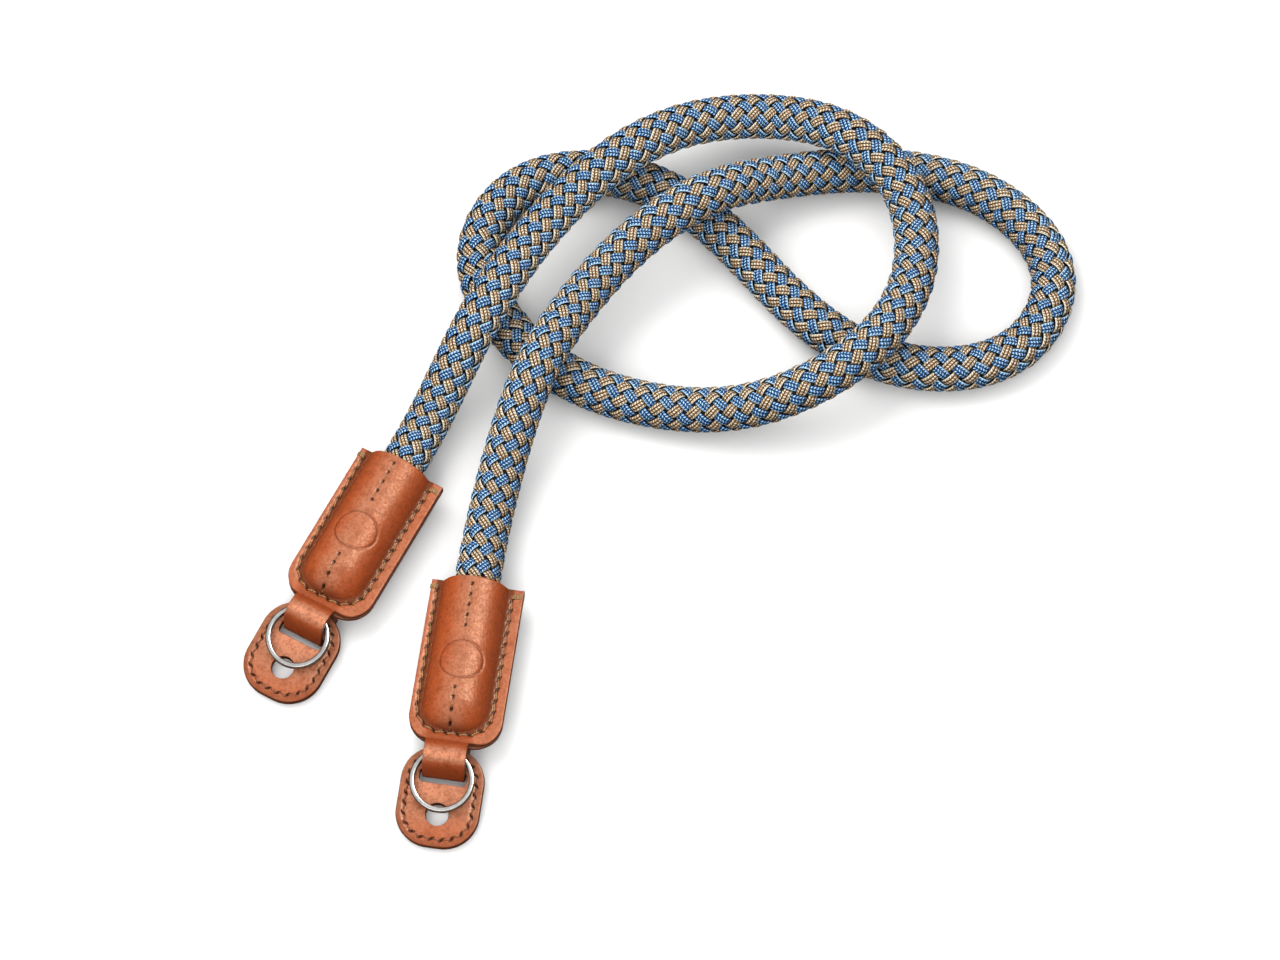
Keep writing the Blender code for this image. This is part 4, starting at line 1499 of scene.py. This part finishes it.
def opening_band(outline, outwards, leather):
    """The wall of an opening in the pad, with its two rubbed edges."""
    rounding_radius = leather.edge_round * OPENING_ROUNDING
    profile = edge_profile(OPENING_REACH, rounding_radius, PAD_THICKNESS / 2)
    points = band_points(outline, -outwards, profile)
    seen = {"worked": 0.0, "deep": 0.0, "pale": pad_tone_and_painted_sheen(points[..., 1])}
    return band_mesh(points, seen, first_edge=4, last_edge=9)


def fill_faces(whole):
    """Fill a pad's two faces between its border and its openings."""
    for level in (1, -1):
        rims = [edge for edge in whole.edges
                if edge.is_boundary and edge.verts[0].co.z * level > 0.0]
        bmesh.ops.triangle_fill(whole, edges=rims, use_beauty=True)


def pad_mesh(name, leather, thread):
    """A ring pad with its slot and its round hole, in its own frame."""
    slot_high = PAD_LENGTH - BRIDGE_LENGTH
    slot = rounded_box(SLOT_HALF, slot_high - SLOT_LENGTH, slot_high, SLOT_CORNER, OPENING_STEP)
    reach = PAD_HOLE_DIAMETER / 2
    hole = rounded_box(reach, PAD_HOLE_SETBACK - reach, PAD_HOLE_SETBACK + reach,
                       reach * HOLE_ROUNDNESS, OPENING_STEP)
    bands = [pad_band(leather, thread), opening_band(*slot, leather), opening_band(*hole, leather)]
    mesh = join_meshes(name, bands, fill_faces)
    mesh.set_sharp_from_angle(angle=math.radians(40.0))
    return mesh


class STRAP_OT_pads(bpy.types.Operator):
    """Cut the ring pads with their slot, round hole and rubbed edges"""
    bl_idname = "strap.pads"
    bl_label = "Ring Pads"

    def execute(self, context):
        leather = context.scene.strap_leather
        thread = context.scene.strap_thread
        for side in SIDES:
            mesh = pad_mesh("pad_leather_" + side, leather, thread)
            piece = add_piece(mesh, leather_finishes("pad", side, leather), "strap",
                              pad_matrix(side))
            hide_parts("ring_pad_" + side)
        return {"FINISHED"}


# Corner radius of the wire's section
WIRE_CORNER = WIRE_THICKNESS * 0.47


def coil_height(turned):
    """Height of the wire's centre after an angle in radians: low coil, crank, high coil."""
    half_pitch = (WIRE_THICKNESS + COIL_GAP) / 2
    share = np.clip((turned - 2 * math.pi) / CRANK + 0.5, 0.0, 1.0)
    return half_pitch * (2 * (3 * share ** 2 - 2 * share ** 3) - 1)


def ring_mesh(name):
    """The two-turn split ring, swept with a soft-cornered section, in its own frame."""
    first = CRANK / 2 + WIRE_WIDTH / RING_MEAN_RADIUS
    turned = np.linspace(first, 4 * math.pi - first, WIRE_ROWS)[:, None]
    out = np.stack((np.sin(turned), np.cos(turned), turned * 0.0), -1)
    outline, _ = rounded_box(WIRE_WIDTH / 2, -WIRE_THICKNESS / 2, WIRE_THICKNESS / 2,
                             WIRE_CORNER, WIRE_STEP)
    points = out * (RING_MEAN_RADIUS + outline[:, :1])
    points[..., 1] -= AXIS_TO_CENTRE
    points[..., 2] += coil_height(turned) + outline[:, 1]
    across = np.linspace(0.0, 1.0, len(outline))
    uv = np.stack(np.broadcast_arrays(across, turned * RING_MEAN_RADIUS / MM), -1)
    mesh = join_meshes(name, [grid_mesh(points, uv, {})], cap_ends)
    mesh.set_sharp_from_angle(angle=math.radians(50.0))
    return mesh


class STRAP_OT_rings(bpy.types.Operator):
    """Wind the two split rings"""
    bl_idname = "strap.rings"
    bl_label = "Split Rings"

    def execute(self, context):
        satin = make_steel_finish(context.scene.strap_steel)
        for side in SIDES:
            mesh = ring_mesh("ring_wire_" + side)
            piece = add_piece(mesh, [satin], "ring_" + side, ring_matrix(side))
            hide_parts("split_ring_" + side)
        return {"FINISHED"}


class STRAP_PT_panel(bpy.types.Panel):
    """Lists the steps that dress the strap"""
    bl_idname = "STRAP_PT_panel"
    bl_label = "Rope Strap"
    bl_space_type = "VIEW_3D"
    bl_region_type = "UI"
    bl_category = "Rope Strap"

    def draw(self, context):
        for operator in OPERATORS:
            self.layout.operator(operator.bl_idname)


SETTINGS = {
    "strap_braid": BraidSettings,
    "strap_leather": LeatherSettings,
    "strap_thread": ThreadSettings,
    "strap_steel": SteelSettings,
    "strap_stage": StageSettings,
}
OPERATORS = (STRAP_OT_stage, STRAP_OT_braid, STRAP_OT_leather, STRAP_OT_pads, STRAP_OT_stitches,
             STRAP_OT_rings)


def register():
    """Add the settings, the steps and the panel."""
    for name, group in SETTINGS.items():
        bpy.utils.register_class(group)
        setattr(bpy.types.Scene, name, bpy.props.PointerProperty(type=group))
    for shown in (*OPERATORS, STRAP_PT_panel):
        bpy.utils.register_class(shown)


def unregister():
    """Take the panel, the steps and the settings away."""
    for shown in (STRAP_PT_panel, *reversed(OPERATORS)):
        bpy.utils.unregister_class(shown)
    for name, group in SETTINGS.items():
        delattr(bpy.types.Scene, name)
        bpy.utils.unregister_class(group)


def main():
    """Dress the strap."""
    register()
    bpy.ops.strap.stage()
    bpy.ops.strap.braid()
    bpy.ops.strap.leather()
    bpy.ops.strap.pads()
    bpy.ops.strap.stitches()
    bpy.ops.strap.rings()


if __name__ == "__main__":
    main()
